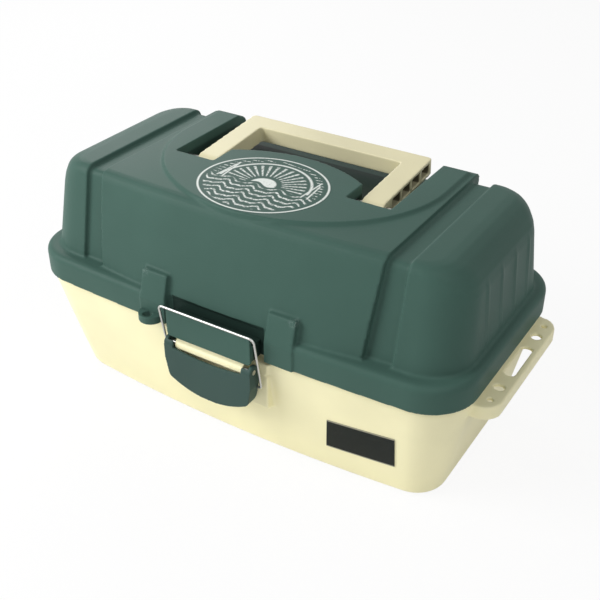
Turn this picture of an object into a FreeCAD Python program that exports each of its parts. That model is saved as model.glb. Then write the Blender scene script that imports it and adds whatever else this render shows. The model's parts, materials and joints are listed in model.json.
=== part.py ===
"""Tackle box with a hooded lid and three trays that lift out on arms, in millimetres.

Frame: +X along the box to the right, -Y to the front, +Z up. The origin is the middle of the
base's underside. All pieces are placed with the lid shut, the latch down and the handle flat.
"""
import FreeCAD, Part
import functools
import math
import os

import Sketcher

Vector = FreeCAD.Vector
ALONG_X = Vector(1, 0, 0)

SIZES = {
    # Lid skirt, the band round the lid's lower edge
    "skirt_length": 400.0,
    "skirt_depth": 208.0,
    "skirt_corner": 40.0,
    "skirt_bow": 4.4,
    "skirt_height": 23.0,
    "lid_edge_rise": 5.0,
    "ledge_round": 5.0,
    "lid_wall": 2.5,
    # Lid ends, the full-height blocks outside the channels
    "hood_height": 77.0,
    "block_width": 48.0,
    "block_end_set": 7.5,
    "block_front_set": 11.0,
    "block_rear_set": 12.0,
    "block_corner": 36.0,
    "block_bow_radius": 3000.0,
    "end_lean": 4.5,
    "front_lean": 12.5,
    "rear_lean": 9.2,
    "end_shoulder": 26.0,
    "front_shoulder": 9.0,
    "channel_width": 16.5,
    "channel_depth": 3.5,
    # Lid's middle body between the channels
    "body_rise": 0.5,
    "body_front_set": 2.5,
    "body_rear_set": 8.0,
    "body_front_lean": 16.5,
    "body_rear_lean": 5.5,
    "body_taper": 6.5,
    "body_bow_radius": 788.0,
    "body_crown_bow_radius": 2100.0,
    # Oval platform on the lid
    "platform_rise": 2.7,
    "platform_margin": 5.0,
    "platform_front_set": 27.4,
    "platform_side": 44.0,
    "platform_rear_set": 25.0,
    "platform_turn_share": 0.94,
    "platform_edge": 1.0,
    # Handle well and the island between its arms
    "well_width": 200.0,
    "well_front_gap": 18.0,
    "well_depth": 19.0,
    "island_gap": 6.5,
    "island_reach": 26.5,
    "island_side_reach": 8.0,
    # Tabs beside the latch and the padlock ear
    "tab_gap": 0.5,
    "tab_width": 24.5,
    "tab_rise": 18.0,
    "tab_stand": 0.6,
    "tab_top_set": 6.0,
    "ear_set": 14.0,
    "ear_radius": 10.5,
    "ear_rise": 1.3,
    "ear_thick": 6.3,
    "ear_hole_radius": 4.0,
    "ear_hole_reach": 4.5,
    # Keeper of the latch on the lid, and the pocket behind it
    "keeper_side_set": 1.5,
    "keeper_stand": 7.6,
    "keeper_thick": 2.3,
    "keeper_drop": 2.7,
    "keeper_rise": 22.4,
    "keeper_round": 3.0,
    "shelf_rise": 14.0,
    "shelf_thick": 3.0,
    "pocket_side_gap": 2.1,
    "pocket_depth": 6.5,
    "pocket_rise": 2.0,
    # Base tub
    "rim_level": 98.0,
    "floor_end_set": 22.5,
    "floor_front_set": 21.5,
    "tub_floor_corner": 26.0,
    "tub_floor_bow": 7.9,
    "tub_wall": 3.0,
    "tub_round": 6.0,
    "rim_gap": 1.0,
    "rim_draft": 1.8,
    "rim_corner_set": 3.0,
    "rim_recess_gap": 1.5,
    # Pad behind the latch lever
    "pad_side": 6.5,
    "pad_set": 3.0,
    "pad_drop": 42.0,
    "pad_foot": 8.0,
    "notch_width": 2.2,
    "notch_depth": 2.0,
    "notch_drop": 2.0,
    "notch_length": 9.5,
    # Lure racks at both ends
    "rack_reach": 14.5,
    "rack_end_set": 37.0,
    "rack_centre": 5.0,
    "rack_rise": 0.5,
    "rack_thick": 2.8,
    "rack_lip": 12.0,
    "rack_corner": 15.0,
    "rack_hole_line": 5.5,
    "small_hole_radius": 2.2,
    "small_hole_inset": 12.0,
    "large_hole_radius": 4.0,
    "large_hole_gap": 17.0,
    "slot_length": 42.0,
    "slot_width": 9.0,
    # Rear hinge
    "hinge_stand": 2.0,
    "hinge_drop": 1.0,
    "hinge_group": 105.0,
    "knuckle_radius": 4.5,
    "knuckle_length": 14.0,
    "knuckle_gap": 0.5,
    "rod_radius": 1.5,
    # Lift arms, links and pivots
    "arm_width": 12.0,
    "arm_thick": 2.5,
    "arm_start_angle": 35.0,
    "arm_drop": 3.8,
    "front_arm_set": 74.0,
    "rear_arm_set": 47.0,
    "lower_pin_height": 20.86,
    "middle_pin_height": 14.37,
    "upper_pin_height": 8.15,
    "link_reach": 60.0,
    "link_width": 10.0,
    "link_thick": 2.5,
    "pivot_radius": 2.0,
    "pivot_head_radius": 3.5,
    "pivot_head_thick": 1.1,
    "running_gap": 0.05,
    "side_gap": 0.4,
    "boss_radius": 6.0,
    "boss_rib_thick": 3.0,
    "boss_rib_drop": 34.2,
    # Trays
    "tray_end_set": 32.0,
    "tray_rise": 3.8,
    "tray_gap": 2.0,
    "tray_head_gap": 7.5,
    "tray_wall": 2.0,
    "tray_divider": 1.6,
    "tray_corner": 6.0,
    "tray_front_set": 25.0,
    "tray_step": 4.0,
    "lower_tray_rear_set": 76.0,
    "upper_tray_rear_set": 83.5,
    # Carrying handle
    "handle_side_gap": 12.5,
    "handle_arm": 19.0,
    "handle_thick": 14.0,
    "handle_grip": 18.0,
    "handle_rear_set": 19.7,
    "handle_pivot_place": 5.0,
    "handle_floor_gap": 2.5,
    "handle_tilt": 4.65,
    "handle_skin": 2.6,
    "handle_rib": 2.4,
    "handle_round": 1.5,
    "handle_pin_radius": 2.5,
    # Latch lever, the mount and pin that it turns on, and the wire bail
    "lever_width": 82.0,
    "lever_foot_inset": 3.0,
    "lever_stand": 11.0,
    "lever_depth": 12.0,
    "lever_plate": 2.3,
    "lever_flange": 3.0,
    "lever_pivot_inset": 6.0,
    "lever_pivot_drop": 4.5,
    "lever_ear_radius": 6.0,
    "lever_knee_drop": 13.5,
    "lever_side_drop": 29.5,
    "lever_drop": 40.0,
    "lever_corner": 6.0,
    "flange_front_drop": 33.5,
    "flange_rear_drop": 25.0,
    "lever_lip": 5.0,
    "slot_side_drop": 1.5,
    "slot_middle_drop": 4.3,
    "lever_slot_width": 65.0,
    "lever_pin_radius": 2.0,
    "block_gap": 0.4,
    "lever_block_radius": 3.8,
    "lever_block_face": 3.4,
    "wire_radius": 1.2,
    "wire_bend": 5.0,
    "wire_gap": 0.35,
    "bail_side_gap": 3.4,
    "bail_pivot_inset": 10.0,
    "bail_pivot_drop": 15.5,
    "bail_rise": 1.6,
    # Cuts run past the faces that they open by this much
    "overrun": 1.0,
}

# Sizes that follow others, as formulas on the named sizes
FOLLOWING = {
    "lid_edge_level": "{rim_level} + {lid_edge_rise}",
    "ledge_level": "{lid_edge_level} + {skirt_height}",
    "crown_level": "{ledge_level} + {hood_height}",
    "block_length": "{skirt_length} - 2 * {block_end_set}",
    "block_inner": "{block_length} - 2 * {block_width}",
    "block_front": "{skirt_depth} / 2 - {block_front_set}",
    "block_rear": "{skirt_depth} / 2 - {block_rear_set}",
    "body_front": "{skirt_depth} / 2 - {body_front_set}",
    "body_rear": "{skirt_depth} / 2 - {body_rear_set}",
    "body_crown_width": "{block_inner} - 2 * {channel_width}",
    "body_foot_width": "{body_crown_width} - 2 * {body_taper}",
    "platform_width": "{body_crown_width} - 2 * {platform_margin}",
    "platform_front": "{skirt_depth} / 2 - {platform_front_set}",
    "platform_rear": "{skirt_depth} / 2 - {platform_rear_set}",
    "platform_centre": "{platform_rear} - {platform_side}",
    "well_front": "{well_front_gap} - {handle_pivot_place}",
    "well_floor_level": "{crown_level} - {well_depth}",
    "handle_width": "{well_width} - 2 * {handle_side_gap}",
    "island_width": "{handle_width} - 2 * {handle_arm} - 2 * {island_gap}",
    "island_rear": "{handle_pivot_place} + {island_reach}",
    "island_rear_side": "{handle_pivot_place} + {island_side_reach}",
    "handle_pivot_level": "{well_floor_level} + {handle_floor_gap} + {handle_thick} / 2",
    "handle_reach": "{skirt_depth} / 2 - {handle_rear_set} - {handle_pivot_place}",
    "bail_width": "{lever_width} + 2 * {bail_side_gap}",
    "keeper_width": "{lever_width} - 2 * {keeper_side_set}",
    "pocket_width": "{bail_width} + 2 * {pocket_side_gap}",
    "pocket_level": "{ledge_level} + {pocket_rise}",
    "keeper_front": "{skirt_depth} / 2 + {keeper_stand}",
    "keeper_low": "{lid_edge_level} - {keeper_drop}",
    "keeper_high": "{lid_edge_level} + {keeper_rise}",
    "shelf_level": "{lid_edge_level} + {shelf_rise}",
    "tab_inner": "{pocket_width} / 2 + {tab_gap}",
    "tab_level": "{ledge_level} + {tab_rise}",
    "tab_top_front": "{skirt_depth} / 2 - {tab_top_set}",
    "ear_centre": "{tab_inner} + {ear_set}",
    "ear_level": "{lid_edge_level} + {ear_rise}",
    "tub_floor_length": "{skirt_length} - 2 * {floor_end_set}",
    "tub_floor_depth": "{skirt_depth} - 2 * {floor_front_set}",
    "rim_corner": "{skirt_corner} - {rim_corner_set}",
    "pad_width": "{lever_width} + 2 * {pad_side}",
    "pad_front": "{skirt_depth} / 2 - {pad_set}",
    "pad_low": "{rim_level} - {pad_drop}",
    "notch_high": "{rim_level} - {notch_drop}",
    "notch_low": "{notch_high} - {notch_length}",
    "rack_length": "{skirt_depth} - 2 * {rack_end_set}",
    "rack_level": "{rim_level} + {rack_rise}",
    "small_hole_span": "{rack_length} - 2 * {small_hole_inset}",
    "large_hole_span": "{slot_length} + 2 * {large_hole_gap}",
    "arm_level": "{rim_level} - {arm_drop}",
    "front_arm_place": "{skirt_depth} / 2 - {front_arm_set}",
    "rear_arm_place": "{skirt_depth} / 2 - {rear_arm_set}",
    "lower_reach": "({lower_level} + {lower_pin_height} - {arm_level}) / sin({arm_start_angle})",
    "middle_reach": "({middle_level} + {middle_pin_height} - {arm_level}) / sin({arm_start_angle})",
    "upper_reach": "({upper_level} + {upper_pin_height} - {arm_level}) / sin({arm_start_angle})",
    "boss_rib_level": "{arm_level} - {boss_rib_drop}",
    "tray_length": "{skirt_length} - 2 * {tray_end_set}",
    "tray_room": "{well_floor_level} - {lid_wall} - {tray_head_gap} - {lower_level}",
    "tray_height": "({tray_room} - 2 * {tray_gap}) / 3",
    "lower_level": "{arm_level} + {tray_rise}",
    "middle_level": "{lower_level} + {tray_height} + {tray_gap}",
    "upper_level": "{middle_level} + {tray_height} + {tray_gap}",
    "lower_front": "{skirt_depth} / 2 - {tray_front_set}",
    "middle_front": "{lower_front} - {tray_step}",
    "upper_front": "{middle_front} - {tray_step}",
    "lower_rear": "{skirt_depth} / 2 - {lower_tray_rear_set}",
    "middle_rear": "{skirt_depth} / 2 - {upper_tray_rear_set}",
    "upper_rear": "{skirt_depth} / 2 - {upper_tray_rear_set}",
    "lever_foot_width": "{lever_width} - 2 * {lever_foot_inset}",
    "lever_front": "{skirt_depth} / 2 + {lever_stand}",
    "lever_pivot_place": "{lever_front} - {lever_pivot_inset}",
    "lever_pivot_level": "{rim_level} - {lever_pivot_drop}",
    "lever_knee": "{lever_pivot_level} - {lever_knee_drop}",
    "lever_side_low": "{lever_pivot_level} - {lever_side_drop}",
    "lever_low": "{lever_pivot_level} - {lever_drop}",
    "lever_flange_front_low": "{lever_pivot_level} - {flange_front_drop}",
    "lever_flange_rear_low": "{lever_pivot_level} - {flange_rear_drop}",
    "lever_slot_side": "{lever_pivot_level} - {slot_side_drop}",
    "lever_slot_middle": "{lever_pivot_level} - {slot_middle_drop}",
    "bail_pivot_place": "{lever_front} - {bail_pivot_inset}",
    "bail_pivot_level": "{lever_pivot_level} - {bail_pivot_drop}",
}

# Steps of the end and front shoulders outside and inside the lid, steps of a rounded edge,
# and strips of a tall leaning wall
OUTER_STEPS = (5, 3)
INNER_STEPS = (3, 2)
EDGE_STEPS = 3
WALL_STRIPS = 4
# Flats round the small pins and the wire, which repeat
PIN_SIDES = 12
WIRE_SIDES = 10

TRAYS = ("lower", "middle", "upper")
TRAY_CELLS = {"lower": (3, 1), "middle": (4, 2), "upper": (5, 2)}

doc = FreeCAD.newDocument("tackle_box")
sheet = doc.addObject("Spreadsheet::Sheet", "sizes")


def fill_sheet():
    for row, (name, value) in enumerate(SIZES.items(), start=1):
        sheet.set(f"A{row}", name)
        sheet.set(f"B{row}", str(value))
        sheet.setAlias(f"B{row}", name)
    doc.recompute()


fill_sheet()


class Cells(dict):
    """Stands for each name in a formula by its cell or by its own formula."""

    def __missing__(self, name):
        return cell(name)


def cell(name):
    """Expression for a size: its cell, or the formula that it follows."""
    if name in FOLLOWING:
        return f"({FOLLOWING[name].format_map(Cells())})"
    return f"sizes.{name}"


@functools.lru_cache(maxsize=None)
def size(name):
    return float(sheet.evalExpression(cell(name)))


def mirrored(shape):
    return shape.mirror(Vector(0, 0, 0), ALONG_X)


def box_between(low, high):
    """Box from its lowest to its highest corner."""
    span = high - low
    return Part.makeBox(span.x, span.y, span.z, low)


def rod_along_x(radius, start, end, place, level):
    """Round bar along X between two stations."""
    return Part.makeCylinder(radius, end - start, Vector(start, place, level), ALONG_X)


def pin_along_x(radius, start, end, place, level):
    """Bar along X with flat sides, its corners on the given radius."""
    corners = []
    for side in range(PIN_SIDES):
        angle = 2 * math.pi * side / PIN_SIDES
        corners.append((place + radius * math.cos(angle), level + radius * math.sin(angle)))
    return prism_along_x(corners, start, end)


def prism_along_x(points, start, end):
    """Profile in the YZ plane, given as (place, level) pairs, extruded along X."""
    corners = [Vector(start, place, level) for place, level in points]
    face = Part.Face(Part.makePolygon(corners + corners[:1]))
    return face.extrude(Vector(end - start, 0, 0))


def add_solid(name, shape):
    """A named sub-part whose shape is worked out from the sheet."""
    feature = doc.addObject("Part::Feature", name)
    feature.Label = name
    feature.Shape = shape
    feature.Placement = FreeCAD.Placement()
    return feature


# Values that several pieces share

skirt_front = size("skirt_depth") / 2
skirt_half = size("skirt_length") / 2
hinge_place = skirt_front + size("hinge_stand")
hinge_level = size("lid_edge_level") - size("hinge_drop")
ledge_underside = size("ledge_level") - size("lid_wall")
foot_level = size("ledge_level") - 2 * size("lid_wall")
arm_angle = math.radians(size("arm_start_angle"))
arm_direction = Vector(0, -math.cos(arm_angle), math.sin(arm_angle))
arm_inner = size("tray_length") / 2 + size("side_gap")
arm_outer = arm_inner + size("arm_thick")
link_inner = arm_outer + size("pivot_head_thick") + size("side_gap")
link_outer = link_inner + size("link_thick")
boss_inner = arm_outer + size("side_gap")
running_radius = size("pivot_radius") + size("running_gap")
pocket_back = skirt_front - size("pocket_depth")


def bow_radius(half, corner, bow):
    """Radius of a front that bows out by bow over its straight part."""
    reach = half - corner
    return (reach ** 2 + bow ** 2) / (2 * bow)


# Lofted forms

def outline(level, half, front, rear, corner, front_radius):
    """Plan outline at one level: straight sides and rear, a bowed front, four round corners."""
    reach = half - corner
    bow_centre = Vector(0, front_radius - front, level)
    corner_place = bow_centre.y - math.sqrt((front_radius - corner) ** 2 - reach ** 2)
    corner_centre = Vector(reach, corner_place, level)
    towards = (corner_centre - bow_centre).normalize()
    meet = bow_centre + towards * front_radius
    between = (towards + ALONG_X).normalize()
    rear_centre = Vector(reach, rear - corner, level)
    diagonal = Vector(1, 1, 0).normalize()
    right = [meet, corner_centre + between * corner, corner_centre + ALONG_X * corner,
             rear_centre + ALONG_X * corner, rear_centre + diagonal * corner,
             rear_centre + Vector(0, corner, 0)]
    left = [Vector(-point.x, point.y, point.z) for point in right]
    edges = [
        Part.Arc(left[0], Vector(0, -front, level), right[0]),
        Part.Arc(right[0], right[1], right[2]),
        Part.LineSegment(right[2], right[3]),
        Part.Arc(right[3], right[4], right[5]),
        Part.LineSegment(right[5], left[5]),
        Part.Arc(left[5], left[4], left[3]),
        Part.LineSegment(left[3], left[2]),
        Part.Arc(left[2], left[1], left[0]),
    ]
    return Part.Wire([edge.toShape() for edge in edges])


def wall_levels(low, high):
    """Levels that divide a tall wall into even strips."""
    return [low + (high - low) * strip / WALL_STRIPS for strip in range(WALL_STRIPS + 1)]


def shoulder_levels(low, crown, inset, shoulders):
    """Levels of the sections: strips up the wall, then steps up each shoulder's arc."""
    levels = []
    for shoulder, lean, steps in shoulders:
        start = math.radians(lean)
        for step in range(steps + 1):
            angle = start + (math.pi / 2 - start) * step / steps
            levels.append(crown - shoulder + (shoulder - inset) * math.sin(angle))
    levels += wall_levels(low, min(levels))[:-1]
    least_rise = size("lid_wall") / 5
    kept = []
    for level in sorted(levels, reverse=True):
        if not kept or kept[-1] - level > least_rise:
            kept.append(level)
    kept[-1] = low
    return sorted(kept)


def leaning_wall(level, foot, lean, shoulder, crown, inset):
    """Distance from the middle of a leaning wall whose top rounds into the crown."""
    angle = math.radians(lean)
    centre_level = crown - shoulder
    meet_level = centre_level + shoulder * math.sin(angle)
    meet = foot - math.tan(angle) * (meet_level - foot_level)
    centre = meet - shoulder * math.cos(angle)
    radius = shoulder - inset
    if level <= centre_level + radius * math.sin(angle):
        return foot - inset / math.cos(angle) - math.tan(angle) * (level - foot_level)
    rise = min(level - centre_level, radius)
    return centre + math.sqrt(radius ** 2 - rise ** 2)


def block_form(inset, steps):
    """The lid's full-height form, as its ends show it, shrunk by inset."""
    crown = size("crown_level")
    end = (size("block_length") / 2, size("end_lean"), size("end_shoulder"), crown, inset)
    front = (size("block_front"), size("front_lean"), size("front_shoulder"), crown, inset)
    rear = (size("block_rear"), size("rear_lean"), size("front_shoulder"), crown, inset)
    shoulders = [(size("end_shoulder"), size("end_lean"), steps[0]),
                 (size("front_shoulder"), size("front_lean"), steps[1])]
    sections = []
    corner_share = 0.7
    for level in shoulder_levels(foot_level, crown, inset, shoulders):
        half = leaning_wall(level, *end)
        drawn_in = size("block_length") / 2 - inset - half
        corner = size("block_corner") - inset - max(drawn_in, 0) * corner_share
        sections.append(outline(level, half, leaning_wall(level, *front),
                                leaning_wall(level, *rear), corner,
                                size("block_bow_radius") - inset))
    return Part.makeLoft(sections, True, True)


def body_form(inset, steps):
    """The lid's middle body, more bowed at its foot than at its crown, cut to its width."""
    crown = size("crown_level") + size("body_rise")
    shoulder = size("front_shoulder")
    front = (size("body_front"), size("body_front_lean"), shoulder, crown, inset)
    rear = (size("body_rear"), size("body_rear_lean"), shoulder, crown, inset)
    corner = size("block_corner") / 2
    half = size("body_crown_width") / 2 + 2 * corner
    rise = crown - foot_level
    sections = []
    shoulders = [(shoulder, size("front_lean"), steps[1])]
    for level in shoulder_levels(foot_level, crown, inset, shoulders):
        share = (level - foot_level) / rise
        spread = size("body_crown_bow_radius") - size("body_bow_radius")
        radius = size("body_bow_radius") + share * spread - inset
        sections.append(outline(level, half, leaning_wall(level, *front),
                                leaning_wall(level, *rear), corner, radius))
    loft = Part.makeLoft(sections, True, True)
    low = size("body_foot_width") / 2 - inset
    high = size("body_crown_width") / 2 - inset
    start = -size("skirt_depth")
    corners = [Vector(-low, start, foot_level), Vector(low, start, foot_level),
               Vector(high, start, crown), Vector(high, start, crown + size("overrun")),
               Vector(-high, start, crown + size("overrun")), Vector(-high, start, crown)]
    face = Part.Face(Part.makePolygon(corners + corners[:1]))
    return loft.common(face.extrude(Vector(0, 2 * size("skirt_depth"), 0)))


def platform_form(inset):
    """Raised platform: a front of three arcs, straight sides to the rear, a bevelled edge."""
    high = size("crown_level") + size("platform_rise") - inset
    low = size("well_floor_level")
    half = size("platform_width") / 2 - inset
    middle = size("platform_centre")
    reach = size("platform_front") + middle - inset
    turn = size("platform_turn_share") * min(half, reach)
    front_radius = ((half - turn) ** 2 + reach ** 2 - turn ** 2) / (2 * (reach - turn))
    right_centre = Vector(half - turn, middle, low)
    front_centre = Vector(0, middle - reach + front_radius, low)
    towards = (right_centre - front_centre).normalize()
    meet = front_centre + towards * front_radius
    right = Vector(half, middle, low)
    between = right_centre + (towards + ALONG_X).normalize() * turn
    rear = size("platform_rear") - inset
    side_arc = Part.Arc(meet, between, right).toShape()
    front_arc = Part.Arc(Vector(-meet.x, meet.y, low), Vector(0, middle - reach, low), meet)
    sides = Part.makePolygon([right, Vector(half, rear, low), Vector(-half, rear, low),
                              Vector(-half, middle, low)])
    wire = Part.Wire([front_arc.toShape(), side_arc] + sides.Edges + [mirrored(side_arc)])
    solid = Part.Face(wire).extrude(Vector(0, 0, high - low))
    if inset:
        return solid
    top_edges = [edge for edge in solid.Edges
                 if all(abs(vertex.Z - high) < size("overrun") / 10 for vertex in edge.Vertexes)]
    return solid.makeChamfer(size("platform_edge"), top_edges)


def tab_form(inset):
    """Raised tab to the right of the latch, from the lid's edge up over the ledge."""
    foot = skirt_front + size("tab_stand") - inset
    top = size("tab_top_front") - inset
    knee = size("ledge_level") - size("ledge_round")
    high = size("tab_level") - inset
    low = size("lid_edge_level")
    back = size("block_front") - size("channel_depth")
    points = [(-foot, low), (-foot, knee), (-top, high), (-back, high), (-back, low)]
    start = size("tab_inner") + inset
    return prism_along_x(points, start, size("tab_inner") + size("tab_width") - inset)


def hood_form(inset):
    """Everything above the ledge: channels, ends, middle body and platform, shrunk by inset."""
    steps = INNER_STEPS if inset else OUTER_STEPS
    core = block_form(inset + size("channel_depth"), steps)
    reach = size("skirt_length")
    inner = size("block_inner") / 2 + inset
    ends = block_form(inset, steps)
    right_end = ends.common(box_between(Vector(inner, -reach, 0), Vector(reach, reach, reach)))
    left_end = ends.common(box_between(Vector(-reach, -reach, 0), Vector(-inner, reach, reach)))
    return core.multiFuse([right_end, left_end, body_form(inset, steps), platform_form(inset)])


def skirt_form(inset, low):
    """The skirt, with its upper edge rounded over."""
    corner = size("skirt_corner")
    radius = bow_radius(skirt_half, corner, size("skirt_bow"))
    turn = size("ledge_round")
    high = size("ledge_level") - inset
    sections = []
    stations = [(low, 0.0)]
    for step in range(EDGE_STEPS + 1):
        angle = math.pi / 2 * step / EDGE_STEPS
        small = max(turn - inset, inset)
        stations.append((high - small + small * math.sin(angle), small * (1 - math.cos(angle))))
    for level, drawn in stations:
        shrink = inset + drawn
        sections.append(outline(level, skirt_half - shrink, skirt_front - shrink,
                                skirt_front - shrink, corner - shrink, radius - shrink))
    return Part.makeLoft(sections, True, True)


def well_form(grow):
    """Room for the handle, open to the rear, with the island left standing."""
    half = size("well_width") / 2 + grow
    front = -size("well_front") - grow
    floor = size("well_floor_level") - grow
    high = size("crown_level") + size("skirt_corner")
    rear = size("skirt_depth")
    room = box_between(Vector(-half, front, floor), Vector(half, rear, high))
    side = size("island_width") / 2 - grow
    start = front - size("overrun")
    left = Vector(-side, size("island_rear_side") - grow, floor)
    right = Vector(side, size("island_rear_side") - grow, floor)
    tip = Vector(0, size("island_rear") - grow, floor)
    rear_arc = Part.Arc(right, tip, left).toShape()
    sides = Part.makePolygon([left, Vector(-side, start, floor), Vector(side, start, floor), right])
    island = Part.Face(Part.Wire(sides.Edges + [rear_arc])).extrude(Vector(0, 0, high - floor))
    return room.cut(island)


def latch_pocket():
    """Shallow pocket in the skirt behind the keeper."""
    half = size("pocket_width") / 2
    reach = skirt_front + size("skirt_bow") + size("overrun")
    low = size("lid_edge_level") - size("overrun")
    return box_between(Vector(-half, -reach, low), Vector(half, -pocket_back, size("pocket_level")))


def keeper_form():
    """Lip that the bail hooks on, with the shelf and cheeks that stand on the pocket's back."""
    half = size("keeper_width") / 2
    front = size("keeper_front")
    back = front - size("keeper_thick")
    low = size("keeper_low")
    lip = box_between(Vector(-half, -front, low), Vector(half, -back, size("keeper_high")))
    corner_edges = [edge for edge in lip.Edges
                    if abs(edge.Vertexes[0].X - edge.Vertexes[-1].X) < size("overrun") / 10
                    and abs(edge.Vertexes[0].Z - edge.Vertexes[-1].Z) < size("overrun") / 10]
    lip = lip.makeFillet(size("keeper_round"), corner_edges)
    shelf_low = size("shelf_level") - size("shelf_thick")
    shelf = box_between(Vector(-half, -back, shelf_low),
                        Vector(half, -pocket_back, size("shelf_level")))
    cheeks = []
    for start in (-half, half - size("keeper_thick")):
        cheeks.append(box_between(Vector(start, -back, low + size("keeper_round")),
                                  Vector(start + size("keeper_thick"), -pocket_back,
                                         size("shelf_level"))))
    return lip.multiFuse([shelf] + cheeks).removeSplitter()


def ear_form():
    """Flat round-ended ear under the left tab, fitted to the skirt, with a shackle's hole."""
    low = size("ear_level")
    radius = size("ear_radius")
    centre = Vector(-size("ear_centre"), -skirt_front, low)
    disc = Part.makeCylinder(radius, size("ear_thick"), centre)
    root = box_between(centre - Vector(radius, 0, 0),
                       centre + Vector(radius, radius, size("ear_thick")))
    hole = Part.makeCylinder(size("ear_hole_radius"), size("ear_thick") + 2 * size("overrun"),
                             centre - Vector(0, size("ear_hole_reach"), size("overrun")))
    ear = disc.fuse(root).cut(hole).cut(mirrored(tab_form(0)))
    return ear.cut(skirt_form(0, size("lid_edge_level"))).removeSplitter()


# Rear hinge

def knuckle_stations():
    """X ranges of the base's two knuckles and the lid's one, for the right hinge group."""
    centre = size("hinge_group")
    length = size("knuckle_length")
    gap = size("knuckle_gap")
    lid = (centre - length / 2, centre + length / 2)
    inner = (lid[0] - gap - length, lid[0] - gap)
    outer = (lid[1] + gap, lid[1] + gap + length)
    return [inner, outer], lid


def base_knuckles():
    """Base's knuckles on both sides, with the webs that carry them."""
    solids = []
    rim_rear = skirt_front - size("lid_wall") - size("rim_gap")
    for start, end in knuckle_stations()[0]:
        barrel = rod_along_x(size("knuckle_radius"), start, end, hinge_place, hinge_level)
        web = box_between(
            Vector(start, rim_rear - size("tub_wall") / 2, hinge_level - size("knuckle_radius")),
            Vector(end, hinge_place, hinge_level))
        solids.append(barrel.fuse(web))
    return solids + [mirrored(solid) for solid in solids]


def lid_knuckles():
    """Lid's knuckles on both sides, with the webs that carry them."""
    start, end = knuckle_stations()[1]
    barrel = rod_along_x(size("knuckle_radius"), start, end, hinge_place, hinge_level)
    web = box_between(
        Vector(start, skirt_front - size("lid_wall") / 2, hinge_level),
        Vector(end, hinge_place, hinge_level + 2 * size("knuckle_radius")))
    solid = barrel.fuse(web)
    return [solid, mirrored(solid)]


def hinge_bores():
    """Holes along the hinge's axis through each group."""
    first, last = knuckle_stations()[0][0][0], knuckle_stations()[0][1][1]
    radius = size("rod_radius") + size("running_gap")
    bore = rod_along_x(radius, first - size("overrun"), last + size("overrun"),
                       hinge_place, hinge_level)
    return [bore, mirrored(bore)]


def knuckle_notches():
    """Notches in the lid's rear skirt that clear the base's knuckles."""
    gap = size("knuckle_gap")
    inside = skirt_front - size("lid_wall") - size("rim_gap") / 2
    notches = []
    for start, end in knuckle_stations()[0]:
        notch = box_between(
            Vector(start - gap, inside, 0),
            Vector(end + gap, skirt_front + size("overrun"),
                   hinge_level + size("knuckle_radius") + 2 * gap))
        notches += [notch, mirrored(notch)]
    return notches


# Pivot places of the lift arms and links

def arm_places():
    """Pivot places of the two arms on the base."""
    return [Vector(0, size("front_arm_place"), size("arm_level")),
            Vector(0, size("rear_arm_place"), size("arm_level"))]


def link_arm_point():
    return arm_places()[1] + arm_direction * size("link_reach")


def link_lid_point():
    return Vector(0, hinge_place, hinge_level) + arm_direction * size("link_reach")


# Lid

def link_bosses():
    """Bosses inside the lid's end walls that the links turn on."""
    point = link_lid_point()
    end = size("block_length") / 2 - size("lid_wall") + size("channel_depth") / 7
    boss = rod_along_x(size("boss_radius"), link_outer + size("side_gap"), end, point.y, point.z)
    hole = rod_along_x(size("pivot_radius"), link_outer, boss_hole_end(), point.y, point.z)
    solid = boss.cut(hole)
    return [solid, mirrored(solid)]


def boss_hole_end():
    return link_outer + size("side_gap") + size("boss_radius")


def pin_bores():
    """Holes in the well's walls for the handle's pins."""
    inner, outer = handle_pin_stations()
    bore = rod_along_x(size("handle_pin_radius"), inner, outer,
                       size("handle_pivot_place"), size("handle_pivot_level"))
    return [bore, mirrored(bore)]


def handle_pin_stations():
    return size("island_width") / 2 - size("lid_wall"), size("well_width") / 2 + size("lid_wall")


def make_lid():
    wall = size("lid_wall")
    tab = tab_form(0)
    outer = hood_form(0).multiFuse([skirt_form(0, size("lid_edge_level")), tab, mirrored(tab)])
    tab_room = tab_form(wall)
    room = hood_form(wall).multiFuse([skirt_form(wall, size("lid_edge_level") - size("overrun")),
                                      tab_room, mirrored(tab_room)])
    half = size("pocket_width") / 2 + wall
    pocket_wall = box_between(Vector(-half, -skirt_front, size("lid_edge_level")),
                              Vector(half, -pocket_back + wall, size("pocket_level") + wall))
    room = room.cut(well_form(wall)).cut(pocket_wall)
    shell = outer.cut(room).cut(well_form(0)).cut(latch_pocket())
    shell = shell.multiFuse(lid_knuckles() + link_bosses())
    for cut in hinge_bores() + knuckle_notches() + pin_bores():
        shell = shell.cut(cut)
    add_solid("lid_hood", shell.removeSplitter())
    add_solid("latch_keeper", keeper_form())
    add_solid("padlock_ear", ear_form())


# Base

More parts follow.
